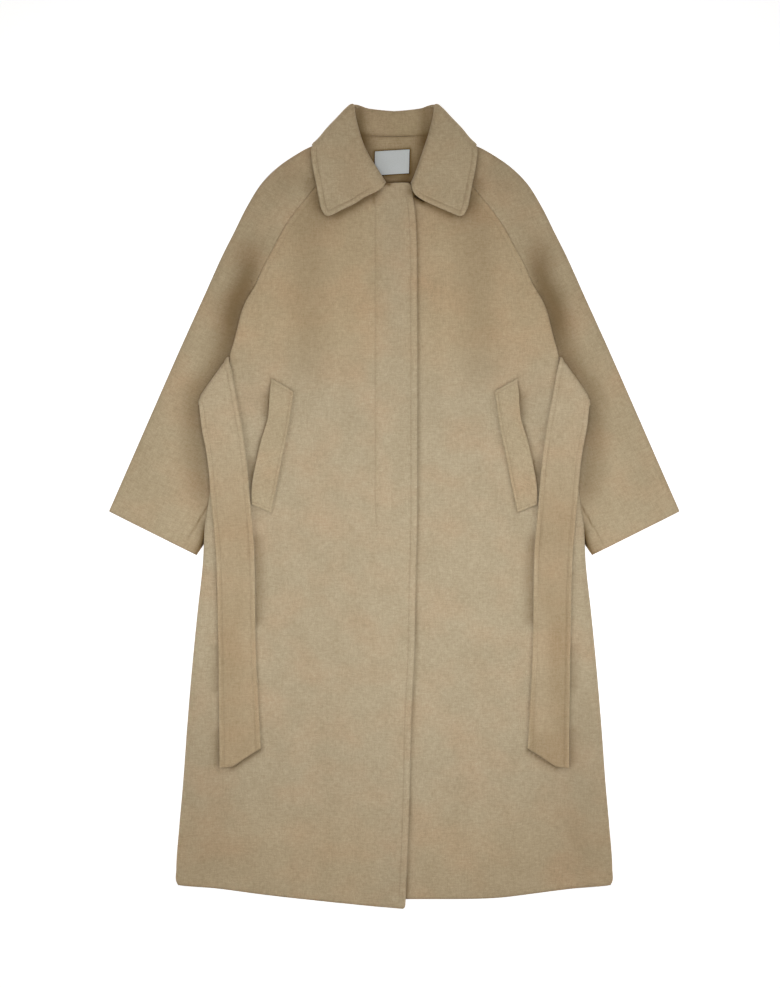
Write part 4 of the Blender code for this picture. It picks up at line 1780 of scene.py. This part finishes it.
@dataclass
class PocketWelt:
    """A slanted welt, sewn down at its ends and along its inner edge."""

    relief: Relief
    side: Side
    thickness: float = 2.8
    cut: Cut = Cut((0.036, 0.205), 0.0068)
    grain: float = -12.0
    lift: float = 0.8
    loft: float = 2.2
    mouth_middle: float = 98.0
    mouth_half: float = 96.0
    opening: Places = (
        (184, 192.5), (186.6, 172), (187.8, 150), (189.6, 132), (194, 117), (199.4, 101), (204, 82),
        (208, 64), (211.8, 44), (214.3, 25), (214.6, 3),
    )
    sewn_edge: Places = (
        (150.6, 172.5), (152.2, 160), (156.8, 130), (161.8, 102), (167.8, 75), (174, 42), (180, 13),
        (184.8, -9.5),
    )

    def mouth(self, x: Array, y: Array) -> Array:
        """How deep the pocket's mouth is at places on the front.

        Args:
            x: Places across.
            y: Places along.

        Returns:
            Shares from 0 to 1.
        """
        wide = np.where(np.sign(x) == self.side.value, np.abs(x), FAR)
        away = Line(self.opening).beside(-1.6).distance(wide, y)
        from_ends = 1 - np.abs(y - self.mouth_middle) / self.mouth_half
        return bell(away, 2.3) * soft_step(from_ends * 3.0)

    def _patch(self) -> Patch:
        """The welt between its four edges, on the half towards +X."""
        return Patch.between(Line(self.opening), Line(self.sewn_edge))

    def stitch_lines(self) -> list[Line]:
        """Draws the topstitching across both ends and along the sewn edge.

        Returns:
            Its lines, as seen from above.
        """
        patch = self._patch()
        across, down = np.linspace(0.1, 0.9, 12), np.linspace(0.03, 0.97, 60)
        rows = [patch.places(across, np.full_like(across, share)) for share in (0.028, 0.972)]
        rows.append(patch.places(np.full_like(down, 0.88), down))
        return [Line.through(places).mirrored(self.side) for places in rows]

    def shell(self) -> ClothShell:
        """Shapes the welt.

        Returns:
            Its cloth.
        """
        patch = self._patch()
        flat = patch.grid(Rims(), columns=6, row_step=3.0)
        wide, y = flat[..., 0], flat[..., 1]
        x = wide * self.side.value
        under = self.relief.front(x, y, self.side) + self.relief.cloth / 2
        z = smoothed_cover(under, spread=1, passes=6) + self.relief.gap + self.thickness / 2
        opening = patch.left.distance(wide, y)
        sewn = patch.right.distance(wide, y)
        ends = np.minimum(patch.top.distance(wide, y), patch.bottom.distance(wide, y))
        z = z + self.lift + self.loft * bell(opening, 10.0) * soft_step(ends, reach=30.0)
        raised = 0.5 * bell(np.minimum(sewn, ends), 3.0)
        shade = np.zeros_like(x)
        for line in self.stitch_lines():
            away = line.distance(x, y)
            raised = raised - 0.9 * bell(away, 1.3)
            shade = shade + 0.14 * bell(away, 0.9)
        name = "pocket_welt_" + self.side.word
        return ClothShell(
            name + "_cloth",
            name,
            "wool",
            self.cut._replace(rests_on=("front_panel_" + self.side.word,)),
            np.dstack([x, y, z]),
            self.thickness,
            (0.9, 0.9, 1.2, 0.9),
            raised,
            shade,
            self.grain * self.side.value,
        )


@dataclass
class Belt:
    """The long sash behind the back, folded up at each side and hanging down over the fronts."""

    relief: Relief
    cut: Cut = Cut((0.056, 1.76), 0.0985, ("front_panel_right", "front_panel_left", "floor"))
    width: float = 56.0
    stitch_in: float = 7.0
    fold_reach: float = 7.0
    run_end: float = 236.0
    run_rows: int = 58
    tail: float = 58.0
    lowest: float = -392.0
    over_front: float = 6.5
    fold: Places = (
        (248.6, 224.0), (262.0, 205.0), (284.5, 173.0), (289.4, 165.2), (291.8, 158.0), (292.2, 152.0),
    )
    fold_shares: tuple[float, ...] = (0.0, 0.012, 0.04, 0.09, 0.16, 0.26, 0.4, 0.58, 0.78)
    end_rungs: tuple[Rung, ...] = (
        Rung(291.2, 143, 243.5, 203),
        Rung(288.0, 116, 236.4, 164),
        Rung(282.2, 86, 227.5, 116),
        Rung(278.2, 56, 221.0, 66),
        Rung(273.8, 4, 215.6, 4),
        Rung(270.4, -30, 212.8, -30),
        Rung(267.6, -66, 210.2, -66),
        Rung(265.8, -110, 209.0, -110),
        Rung(265.0, -160, 208.6, -160),
        Rung(263.6, -230, 207.2, -230),
        Rung(263.2, -290, 204.2, -285),
        Rung(262.6, -330, 202.2, -325),
    )
    tip: Places = ((199.8, -362.6), (221.5, -376.6), (242.5, -390.6), (262.2, -392.2))

    def _shares(self) -> Array:
        """Shares across the sash, close together at its edges and stitch lines."""
        return marks(self.width, SASH_RIM, SASH_RIM, 5) / self.width

    @staticmethod
    def _dense(table: Array, step: float) -> Array:
        """Rungs close together, through a few.

        Args:
            table: Rungs as rows of four numbers.
            step: Distance between the dense rungs.

        Returns:
            Rungs as rows of four numbers.
        """
        outer, inner = table[:, :2], table[:, 2:]
        gaps = np.hypot(*np.diff((outer + inner) / 2, axis=0).T)
        knots = np.concatenate([[0.0], np.cumsum(gaps)])
        target = np.linspace(0.0, knots[-1], int(knots[-1] / step))
        slopes = np.gradient(table, knots, axis=0)
        index = np.clip(np.searchsorted(knots, target, side="right") - 1, 0, len(gaps) - 1)
        share = ((target - knots[index]) / gaps[index])[:, None]
        ends = table[index], table[index + 1]
        return cubic(share, gaps[index][:, None], ends, (slopes[index], slopes[index + 1]))

    def _end(self, side: Side) -> Array:
        """The hanging end, from its tip to its fold.

        Args:
            side: Which side.

        Returns:
            Places of the middle surface, as rows by columns by three.
        """
        share = self._shares()[None, :]
        rungs = self._dense(np.array(self.end_rungs, float), 4.0)
        x = rungs[:, 2:3] * (1 - share) + rungs[:, 0:1] * share
        y = rungs[:, 3:4] * (1 - share) + rungs[:, 1:2] * share
        fold = Line(self.fold).at(share[0])
        first = np.stack([x[0], y[0]], axis=1)
        head = fold[None] + (first - fold)[None] * np.array(self.fold_shares)[:, None, None]
        tip_x = self.tip[0][0] + (self.tip[-1][0] - self.tip[0][0]) * share[0]
        last = np.stack([x[-1], y[-1]], axis=1)
        tip = np.stack([tip_x, np.interp(tip_x, *zip(*self.tip))], axis=1)
        down = marks(self.tail, (0.0,), SOFT_RIM, 9)[1:] / self.tail
        tail = last[None] + (tip - last)[None] * down[:, None, None]
        x = np.vstack([head[..., 0], x, tail[..., 0]])[::-1]
        y = np.vstack([head[..., 1], y, tail[..., 1]])[::-1]
        edge = self.relief.lines["body"].width_at(y) - self.relief.side_reach * 0.7
        under = self.relief.front(side.value * np.minimum(x, edge), y, side) + self.relief.cloth / 2
        under = under + 3.8 * np.where(self._over_welt(x, y), 1.0, 0.0)
        z = smoothed_cover(under, spread=3, passes=24) + self.relief.gap + self.relief.belt / 2
        across = np.minimum(share, 1 - share) * self.width
        z = z + 0.3 + 0.8 * bell(across, 9.0) + 1.6 * bell(y - self.lowest, 46.0)
        return np.dstack([side.value * x, y, z])

    def _over_welt(self, x: Array, y: Array) -> Array:
        """Whether the sash lies on the lower end of a pocket's welt."""
        opening = Line(PocketWelt(self.relief, Side.LEFT).opening)
        return (x < opening.width_at(y) + 6.0) & (y > -6.0) & (y < 190.0)

    def _run_height(self, x: Array, y: Array) -> Array:
        """Middle of the hidden run, on the floor and over the tucked sleeves."""
        return self.relief.belt / 2 + self.relief.over_sleeve(x, y, rest=8.0, ramp=34.0)

    def _run_y(self, x: float) -> Array:
        """The places along which the hidden run crosses at a distance from the middle line."""
        spread = self.relief.run_half * (1 - 2 * self._shares())
        return self.relief.run_middle - self.relief.run_slope * x + spread

    def _half(self, side: Side) -> Array:
        """One side of the sash, from its tip to the middle of the back.

        Args:
            side: Which side.

        Returns:
            Places of the middle surface, as rows by columns by three.
        """
        end = self._end(side)
        fold = Line(self.fold)
        line = fold.at(self._shares()) * np.array([side.value, 1.0])
        top, low = end[-1, :, 2], self._run_height(line[:, 0], line[:, 1])
        middle = (top + low) / 2
        turned = quarter_round(fold.distance(np.abs(end[..., 0]), end[..., 1]), self.fold_reach)
        end[..., 2] = end[..., 2] + (middle - top)[None] * (1 - turned)
        y = self._run_y(self.run_end)
        first = np.column_stack([np.full_like(y, side.value * self.run_end), y])
        flat = line[None] + (first - line)[None] * np.array(self.fold_shares)[1:, None, None]
        turned = quarter_round(fold.distance(np.abs(flat[..., 0]), flat[..., 1]), self.fold_reach)
        z = self._run_height(flat[..., 0], flat[..., 1]) + (middle - low)[None] * (1 - turned)
        rows = [np.dstack([flat, z])]
        for x in np.linspace(self.run_end, 0.0, self.run_rows):
            y = self._run_y(x)
            wide = np.full_like(y, side.value * x)
            rows.append(np.column_stack([wide, y, self._run_height(wide, y)])[None])
        return np.concatenate([end, *rows], axis=0)

    def shell(self) -> ClothShell:
        """Shapes the sash.

        Returns:
            Its cloth.
        """
        right, left = (self._half(side) for side in Side)
        places = np.concatenate([right, left[-2::-1]], axis=0)
        y, z = places[..., 1], places[..., 2]
        distance = self._shares() * self.width
        from_edge = np.minimum(distance, self.width - distance)[None, :]
        rows = np.arange(len(places))[:, None]
        above = soft_step(z, start=self.over_front, reach=2.0)
        pucker = 1 + 0.3 * np.sin(rows * 1.9) + 0.25 * np.sin(rows * 0.83 + 1.0)
        raised = -0.7 * bell(from_edge - self.stitch_in, 1.5) + 0.3 * bell(from_edge - 3.2, 2.6) * pucker
        raised = raised + 0.25 * np.sin(rows / 9.0) * bell(from_edge - self.width / 2, 18.0)
        # Painted shade and painted warm tint down the hanging ends, where less light falls, a little stronger
        # on the wearer's left; painted shade also in the stitch grooves.
        lower = soft_step(140.0 - y, reach=220.0) * above
        lower = lower * (1 - 0.4 * bell(y + 92.0, 48.0))
        depth = 0.26 + 0.03 * np.sign(places[..., 0])
        shade = 0.06 * bell(from_edge - self.stitch_in, 1.0) + lower * depth * soft_step(from_edge, reach=3.0)
        return ClothShell(
            "belt_cloth",
            "belt",
            "wool_belt",
            self.cut,
            places,
            self.relief.belt,
            (1.4, 1.4, 1.4, 1.4),
            raised * above,
            shade,
            painted_warmth=0.7 * lower,
        )

    def stitch_lines(self, side: Side) -> list[Line]:
        """Draws the topstitching along both edges and round the tip of a hanging end.

        Args:
            side: Which side.

        Returns:
            Its line, as seen from above.
        """
        end = self._end(side)[..., :2]
        distance = self._shares() * self.width
        inner = int(np.argmin(np.abs(distance - self.stitch_in)))
        outer = len(distance) - 1 - inner
        tip, edges = end[5], end[8:-8]
        path = np.vstack([edges[::-1, inner], tip[inner : outer + 1], edges[:, outer]])
        return [Line.through(path)]


@dataclass
class NeckLabel:
    """A blank woven label inside the back neck."""

    relief: Relief
    middle: Place = Place(-3.5, 516.5)
    width: float = 52.0
    height: float = 36.0
    turn: float = 3.6
    lean: float = 1.6
    thickness: float = 0.8
    bulge: float = 0.5

    def _corners(self) -> list[tuple[float, float]]:
        """Places the label's corners.

        Returns:
            The corners, from its top left one round to its bottom left one.
        """
        wide, tall = self.width / 2, self.height / 2
        turn, lean = math.radians(self.turn), math.radians(self.lean)
        return [
            (
                self.middle.x + x * math.cos(turn) + y * math.sin(lean),
                self.middle.y + x * math.sin(turn) + y * math.cos(turn),
            )
            for x, y in ((-wide, tall), (wide, tall), (wide, -tall), (-wide, -tall))
        ]

    def outline(self) -> Line:
        """The label's outline."""
        corners = self._corners()
        return Line.through(np.array([*corners, corners[0]]))

    def shell(self) -> ClothShell:
        """Shapes the label.

        Returns:
            Its cloth.
        """
        top_left, top_right, low_right, low_left = self._corners()
        patch = Patch.between(Line([top_left, low_left]), Line([top_right, low_right]))
        flat = patch.grid(Rims(LABEL_RIM, LABEL_RIM, LABEL_RIM, LABEL_RIM), columns=16, row_step=2.0)
        x, y = flat[..., 0], flat[..., 1]
        across = (x - self.middle.x) / (self.width / 2)
        z = self.relief.back(x, y) + self.relief.cloth / 2 + self.relief.gap + self.thickness / 2
        z = z + self.bulge * (1 - across**2) * (1 + 0.3 * np.sin(y / 4.0))
        edges = np.minimum(patch.left.distance(x, y), patch.right.distance(x, y))
        return ClothShell(
            "neck_label_cloth",
            "neck_label",
            "satin",
            Cut((self.width * MM, self.height * MM), self.width * self.height * MM * MM, ("back_panel",)),
            np.dstack([x, y, z]),
            self.thickness,
            (0.4, 0.4, 0.5, 0.5),
            None,
            0.5 * bell(edges - 3.0, 0.5),
            self.turn,
        )


@dataclass
class Topstitching(NodeBench):
    """Rows of stitches on the finished cloth, which geometry nodes sew along edges."""

    thread: bpy.types.Material
    pitch: float = 4.0
    stitch: float = 2.9
    width: float = 0.55

    def __post_init__(self) -> None:
        """Builds the tree, with its sizes as named inputs."""
        self.tree = bpy.data.node_groups.new("topstitching", "GeometryNodeTree")
        face = self.tree.interface
        face.new_socket("Geometry", in_out="INPUT", socket_type="NodeSocketGeometry")
        face.new_socket("Geometry", in_out="OUTPUT", socket_type="NodeSocketGeometry")
        self.values: dict[str, object] = {}
        for name, kind, value in (
            ("Pitch", "NodeSocketFloat", self.pitch * MM),
            ("Stitch length", "NodeSocketFloat", self.stitch * MM),
            ("Thread width", "NodeSocketFloat", self.width * MM),
            ("Thread", "NodeSocketMaterial", self.thread),
        ):
            self.values[face.new_socket(name, in_out="INPUT", socket_type=kind).identifier] = value
        self._wire()

    def _wire(self) -> None:
        """Links the nodes: edges to curves, stitches along them, made real and coloured."""
        given = self.node("NodeGroupInput", {}).outputs
        curve = self.node("GeometryNodeMeshToCurve", {"Mesh": given["Geometry"]})
        inputs = {"Curve": curve.outputs[0], "Length": given["Pitch"]}
        spaced = self.node("GeometryNodeResampleCurve", inputs, mode="LENGTH")
        tangent = self.node("GeometryNodeInputTangent", {})
        turned = self.node("FunctionNodeAlignEulerToVector", {"Vector": tangent.outputs[0]}, axis="X")
        bead = self.node("GeometryNodeMeshUVSphere", {"Segments": 6, "Rings": 5, "Radius": 0.5})
        width = given["Thread width"]
        size = self.node("ShaderNodeCombineXYZ", {0: given["Stitch length"], 1: width, 2: width})
        inputs = {
            "Points": spaced.outputs[0],
            "Instance": bead.outputs["Mesh"],
            "Rotation": turned.outputs[0],
            "Scale": size.outputs[0],
        }
        sewn = self.node("GeometryNodeInstanceOnPoints", inputs)
        real = self.node("GeometryNodeRealizeInstances", {"Geometry": sewn.outputs[0]})
        smooth = self.node("GeometryNodeSetShadeSmooth", {"Geometry": real.outputs[0]})
        inputs = {"Geometry": smooth.outputs[0], "Material": given["Thread"]}
        dyed = self.node("GeometryNodeSetMaterial", inputs)
        self.node("NodeGroupOutput", {"Geometry": dyed.outputs[0]})

    def made(
        self, tailor: Tailor, name: str, slot: str, paths: Sequence[Sequence[Vector]]
    ) -> bpy.types.Object:
        """Sews the stitches.

        Args:
            tailor: Takes the finished piece.
            name: The piece's name.
            slot: The record's material slot; not used.
            paths: Points of each line, in metres.

        Returns:
            The piece.
        """
        points: list[Vector] = []
        edges: list[tuple[int, int]] = []
        for path in paths:
            first = len(points)
            points.extend(path)
            edges.extend((first + index, first + index + 1) for index in range(len(path) - 1))
        guide = bpy.data.meshes.new(name + "_guide")
        guide.from_pydata(points, edges, [])
        holder = placed(name + "_guide", guide)
        modifier = holder.modifiers.new("Stitches", "NODES")
        modifier.node_group = self.tree
        for identifier, value in self.values.items():
            modifier[identifier] = value
        evaluated = holder.evaluated_get(bpy.context.evaluated_depsgraph_get())
        mesh = bpy.data.meshes.new_from_object(evaluated)
        mesh.name = name
        bpy.data.objects.remove(holder)
        return tailor.hand_over(placed(name, mesh))


class Lamp(NamedTuple):
    """A square softbox that faces the middle of the coat."""

    name: str
    place: Vector
    size: float
    power: float


@dataclass
class Studio:
    """A plain pale floor, soft light from above and a camera that looks straight down."""

    middle: Place = Place(-6.45, 18.75)
    camera_height: float = 4600.0
    view_height: float = 1482.0
    coat_top: float = 8.0
    sensor: float = 36.0
    floor_half: float = 12.0
    floor_drop: float = 0.0006
    aim_y: float = -0.11
    lamp_spread: float = 90.0
    lamp_colour: tuple[float, float, float] = (0.88, 0.95, 1.06)
    lamps: tuple[Lamp, ...] = (
        Lamp("softbox_left", Vector((-1.25, -0.13, 1.1)), 0.8, 2.5),
        Lamp("softbox_right", Vector((1.25, -0.13, 1.1)), 0.8, 2.5),
        Lamp("softbox_head", Vector((0.0, 1.1, 1.25)), 0.8, 1.3),
        Lamp("softbox_above", Vector((0.04, -0.16, 1.3)), 0.8, 2.7),
    )
    ambient: float = 0.18
    ambient_colour: Colour = (1.0, 0.80, 0.54, 1.0)

    def floor(self, paper: bpy.types.Material) -> bpy.types.Object:
        """Lays the floor.

        Args:
            paper: Its finish.

        Returns:
            The floor.
        """
        size, low = self.floor_half, -self.floor_drop
        corners = [(-size, -size, low), (size, -size, low), (size, size, low), (-size, size, low)]
        mesh = bpy.data.meshes.new("floor")
        mesh.from_pydata(corners, [], [(0, 1, 2, 3)])
        mesh.materials.append(paper)
        floor = placed("floor", mesh)
        return floor

    def lights(self) -> None:
        """Hangs the softboxes round the coat and makes the room glow softly."""
        world = bpy.data.worlds.new("studio")
        world.use_nodes = True
        sky = world.node_tree.nodes["Background"]
        sky.inputs["Color"].default_value = self.ambient_colour
        sky.inputs["Strength"].default_value = self.ambient
        bpy.context.scene.world = world
        aim = Vector((0.0, self.aim_y, 0.0))
        for lamp in self.lamps:
            data = bpy.data.lights.new(lamp.name, "AREA")
            data.shape = "SQUARE"
            data.size = lamp.size
            data.energy = lamp.power
            data.color = self.lamp_colour
            data.spread = math.radians(self.lamp_spread)
            softbox = placed(lamp.name, data)
            softbox.location = lamp.place
            softbox.rotation_euler = (aim - lamp.place).to_track_quat("-Z", "Y").to_euler()
            softbox.visible_camera = False

    def camera(self) -> bpy.types.Object:
        """Places the camera over the middle of the picture.

        Returns:
            The camera.
        """
        data = bpy.data.cameras.new("overhead")
        data.type = "PERSP"
        data.sensor_fit = "VERTICAL"
        data.sensor_height = self.sensor
        data.lens = self.sensor * (self.camera_height - self.coat_top) / self.view_height
        data.clip_end = 50.0
        camera = placed("overhead", data)
        camera.location = (self.middle.x * MM, self.middle.y * MM, self.camera_height * MM)
        bpy.context.scene.camera = camera
        bpy.context.scene.view_settings.view_transform = "Standard"
        return camera


@dataclass
class Shading:
    """The soft shadows in the coat's closed folds and beside what lies on it."""

    collar: Collar
    pocket: PocketWelt
    label: NeckLabel

    def under_wings(self) -> list[Shadow]:
        """Shadows beside the collar's wings.

        Returns:
            The shadows.
        """
        return [
            Shadow(self.collar.free_edge(Side.RIGHT).shifted(), 4.0, 0.4),
            Shadow(Line([(24, 472), (60, 449.5), (86, 437)]), 6.5, 0.5, 1.8),
            Shadow(Line([(125, 486), (122, 466), (116, 450)]), 11.0, 0.36, 2.0),
        ]

    def on_front(self, side: Side) -> list[Shadow]:
        """Shadows on a front: under the wings, beside the sash and the welt, and in wide folds.

        Args:
            side: Which front.

        Returns:
            The shadows.
        """
        left = Shadow(Line([(31.5, 465.5), (37, 461.5), (43, 458.6)]), 5.0, 1.0, 2.2, both=False)
        right = Shadow(Line([(-14, 484.5), (-6, 482.5)]), 2.8, 0.85, 2.0, both=False)
        return [
            *self.under_wings(),
            Shadow(Line([(216, 68), (213, 30)]), 6.0, 0.3, 2.0),
            Shadow(Line([(206, -50), (204, -110), (205, -170)]), 9.0, 0.4, 2.0),
            Shadow(Line([(267, -212), (268, -272)]), 7.0, 0.3, 2.0),
            Shadow(Line([(266, -338), (266, -382)]), 7.0, 0.3, 2.0),
            Shadow(Line([(244, -393), (202, -366)]), 5.0, 0.55, 1.5),
            Shadow(Line(self.pocket.opening), 2.0, 0.3),
            Shadow(Line([(193, 166), (194, 138)]), 6.0, 0.3, 2.0),
            Shadow(Line([(122, 425), (126, 330), (128, 215)]), 30.0, 0.17, 2.0),
            Shadow(Line([(70, 462), (105, 440)]), 26.0, 0.16, 2.0),
            Shadow(Line([(276, -330), (284, -505)]), 48.0, 0.11, 2.0),
            Shadow(Line([(-105, -60), (-120, -420)]), 80.0, 0.05, 2.0, both=False),
            Shadow(Line([(-32, 467), (-30.5, 456)]), 3.5, 0.35, 2.0, both=False),
            left if side is Side.LEFT else right,
        ]

    def on_sleeve(self) -> list[Shadow]:
        """Shadows on a sleeve: under the wings, and where it leaves the body's side.

        Returns:
            The shadows.
        """
        return [
            *self.under_wings(),
            Shadow(Line([(283, -30), (286, -50), (298, -72)]), 6.0, 0.85),
            Shadow(Line([(284, -40), (288, -60)]), 5.0, 0.9, 2.0),
            Shadow(Line([(150, 500), (165, 480)]), 18.0, 0.1, 2.0),
        ]

    def on_neck(self) -> list[Shadow]:
        """Shadows inside the neck, and round the label.

        Returns:
            The shadows.
        """
        return [
            Shadow(Line(COLLAR_ROLL[:5]), 15.0, 0.64, 2.0),
            Shadow(Line(COLLAR_ROLL[4:]), 7.0, 0.4, 1.5),
            Shadow(Line([(-48, 547), (-50, 560), (-51, 592)]), 8.0, 0.5, 2.0, both=False),
            Shadow(Line([(46, 547), (45, 560), (46, 592)]), 9.0, 0.45, 2.0, both=False),
            Shadow(Line([(-25, 486), (25, 486)]), 9.0, 0.5, 2.0),
            Shadow(Line([(-58, 557.2), (0, 555.7), (58, 557.2)]), 2.8, 0.4, 1.5, both=False),
            Shadow(Line([(-46, 548), (0, 546), (46, 548)]), 9.0, 0.1, 2.0, both=False),
            Shadow(self.label.outline(), 3.0, 0.97, 1.5, both=False),
            Shadow(Line([(-27, 495.5), (24.5, 499), (22.5, 534)]), 2.6, 0.5, both=False),
        ]


# Copies of one cloth as painted light and shade: the collar's and the sash's lighter, the sleeves' warmer,
# the inside's darker and warmer, for how light falls on each part.
WOOLS = (
    NappedWool("napped_wool"),
    NappedWool(
        "collar_wool",
        body=(0.438, 0.338, 0.202, 1.0),
        deep=(0.358, 0.270, 0.150, 1.0),
        pale=(0.520, 0.410, 0.256, 1.0),
        warm=(0.460, 0.330, 0.190, 1.0),
    ),
    NappedWool(
        "sleeve_wool",
        body=(0.418, 0.323, 0.191, 1.0),
        deep=(0.342, 0.254, 0.139, 1.0),
        pale=(0.500, 0.391, 0.241, 1.0),
        warm=(0.452, 0.317, 0.181, 1.0),
    ),
    NappedWool(
        "inner_wool",
        body=(0.408, 0.306, 0.170, 1.0),
        deep=(0.330, 0.242, 0.124, 1.0),
        pale=(0.488, 0.376, 0.218, 1.0),
    ),
    NappedWool(
        "belt_wool",
        body=(0.446, 0.346, 0.211, 1.0),
        deep=(0.366, 0.275, 0.156, 1.0),
        pale=(0.526, 0.416, 0.262, 1.0),
        warm=(0.474, 0.341, 0.202, 1.0),
    ),
)
FRONT_CUTS = {
    Side.LEFT: Cut((0.3543, 1.126), 0.317, ("back_panel",)),
    Side.RIGHT: Cut((0.3618, 1.139), 0.323, ("back_panel",)),
}


def main() -> None:
    """Builds the coat and the studio."""
    logging.basicConfig(level=logging.INFO, format="%(name)s: %(message)s")
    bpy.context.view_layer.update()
    tailor = Tailor()
    studio = Studio()
    studio.camera()
    studio.lights()
    studio.floor(PaleFloor().made())

    wools = {finish.name: finish.made() for finish in WOOLS}
    satin = LabelSatin().made()

    relief = Relief()
    collar = Collar(relief)
    belt = Belt(relief)
    label = NeckLabel(relief)
    welts = {side: PocketWelt(relief, side) for side in Side}
    shading = Shading(collar, welts[Side.LEFT], label)
    tailor.sew(CoatBack(relief, shading.on_neck()).shell(), wools["inner_wool"])
    fronts = {
        side: CoatFront(relief, side, welts[side], FRONT_CUTS[side], shading.on_front(side)) for side in Side
    }
    built: dict[tuple[str, Side], bpy.types.Object] = {}
    for side in (Side.LEFT, Side.RIGHT):
        built["front", side] = tailor.sew(fronts[side].shell(), wools["napped_wool"])
        sleeve = Sleeve(relief, side, shadows=shading.on_sleeve())
        tailor.sew(sleeve.half(Layer.BACK), wools["inner_wool"])
        tailor.sew(sleeve.half(Layer.FRONT), wools["sleeve_wool"])
        built["welt", side] = tailor.sew(welts[side].shell(), wools["sleeve_wool"])
    tailor.sew(collar.stand(shading.on_neck()), wools["inner_wool"])
    fall = tailor.sew(collar.fall(), wools["collar_wool"])
    sash = tailor.sew(belt.shell(), wools["belt_wool"])
    tailor.sew(label.shell(), satin)

    topstitching = Topstitching(ThreadFinish().made())
    sewn = {
        "front": [(built["front", side], fronts[side].stitch_lines()) for side in Side],
        "collar": [(fall, collar.stitch_lines(side)) for side in Side],
        "welt": [(built["welt", side], welts[side].stitch_lines()) for side in Side],
        "belt": [(sash, belt.stitch_lines(side)) for side in Side],
    }
    for part, jobs in sewn.items():
        paths = [path for piece, lines in jobs for path in laid_on(piece, lines)]
        slot = "wool_belt" if part == "belt" else "wool"
        topstitching.made(tailor, part + "_topstitching", slot, paths)


if __name__ == "__main__":
    main()
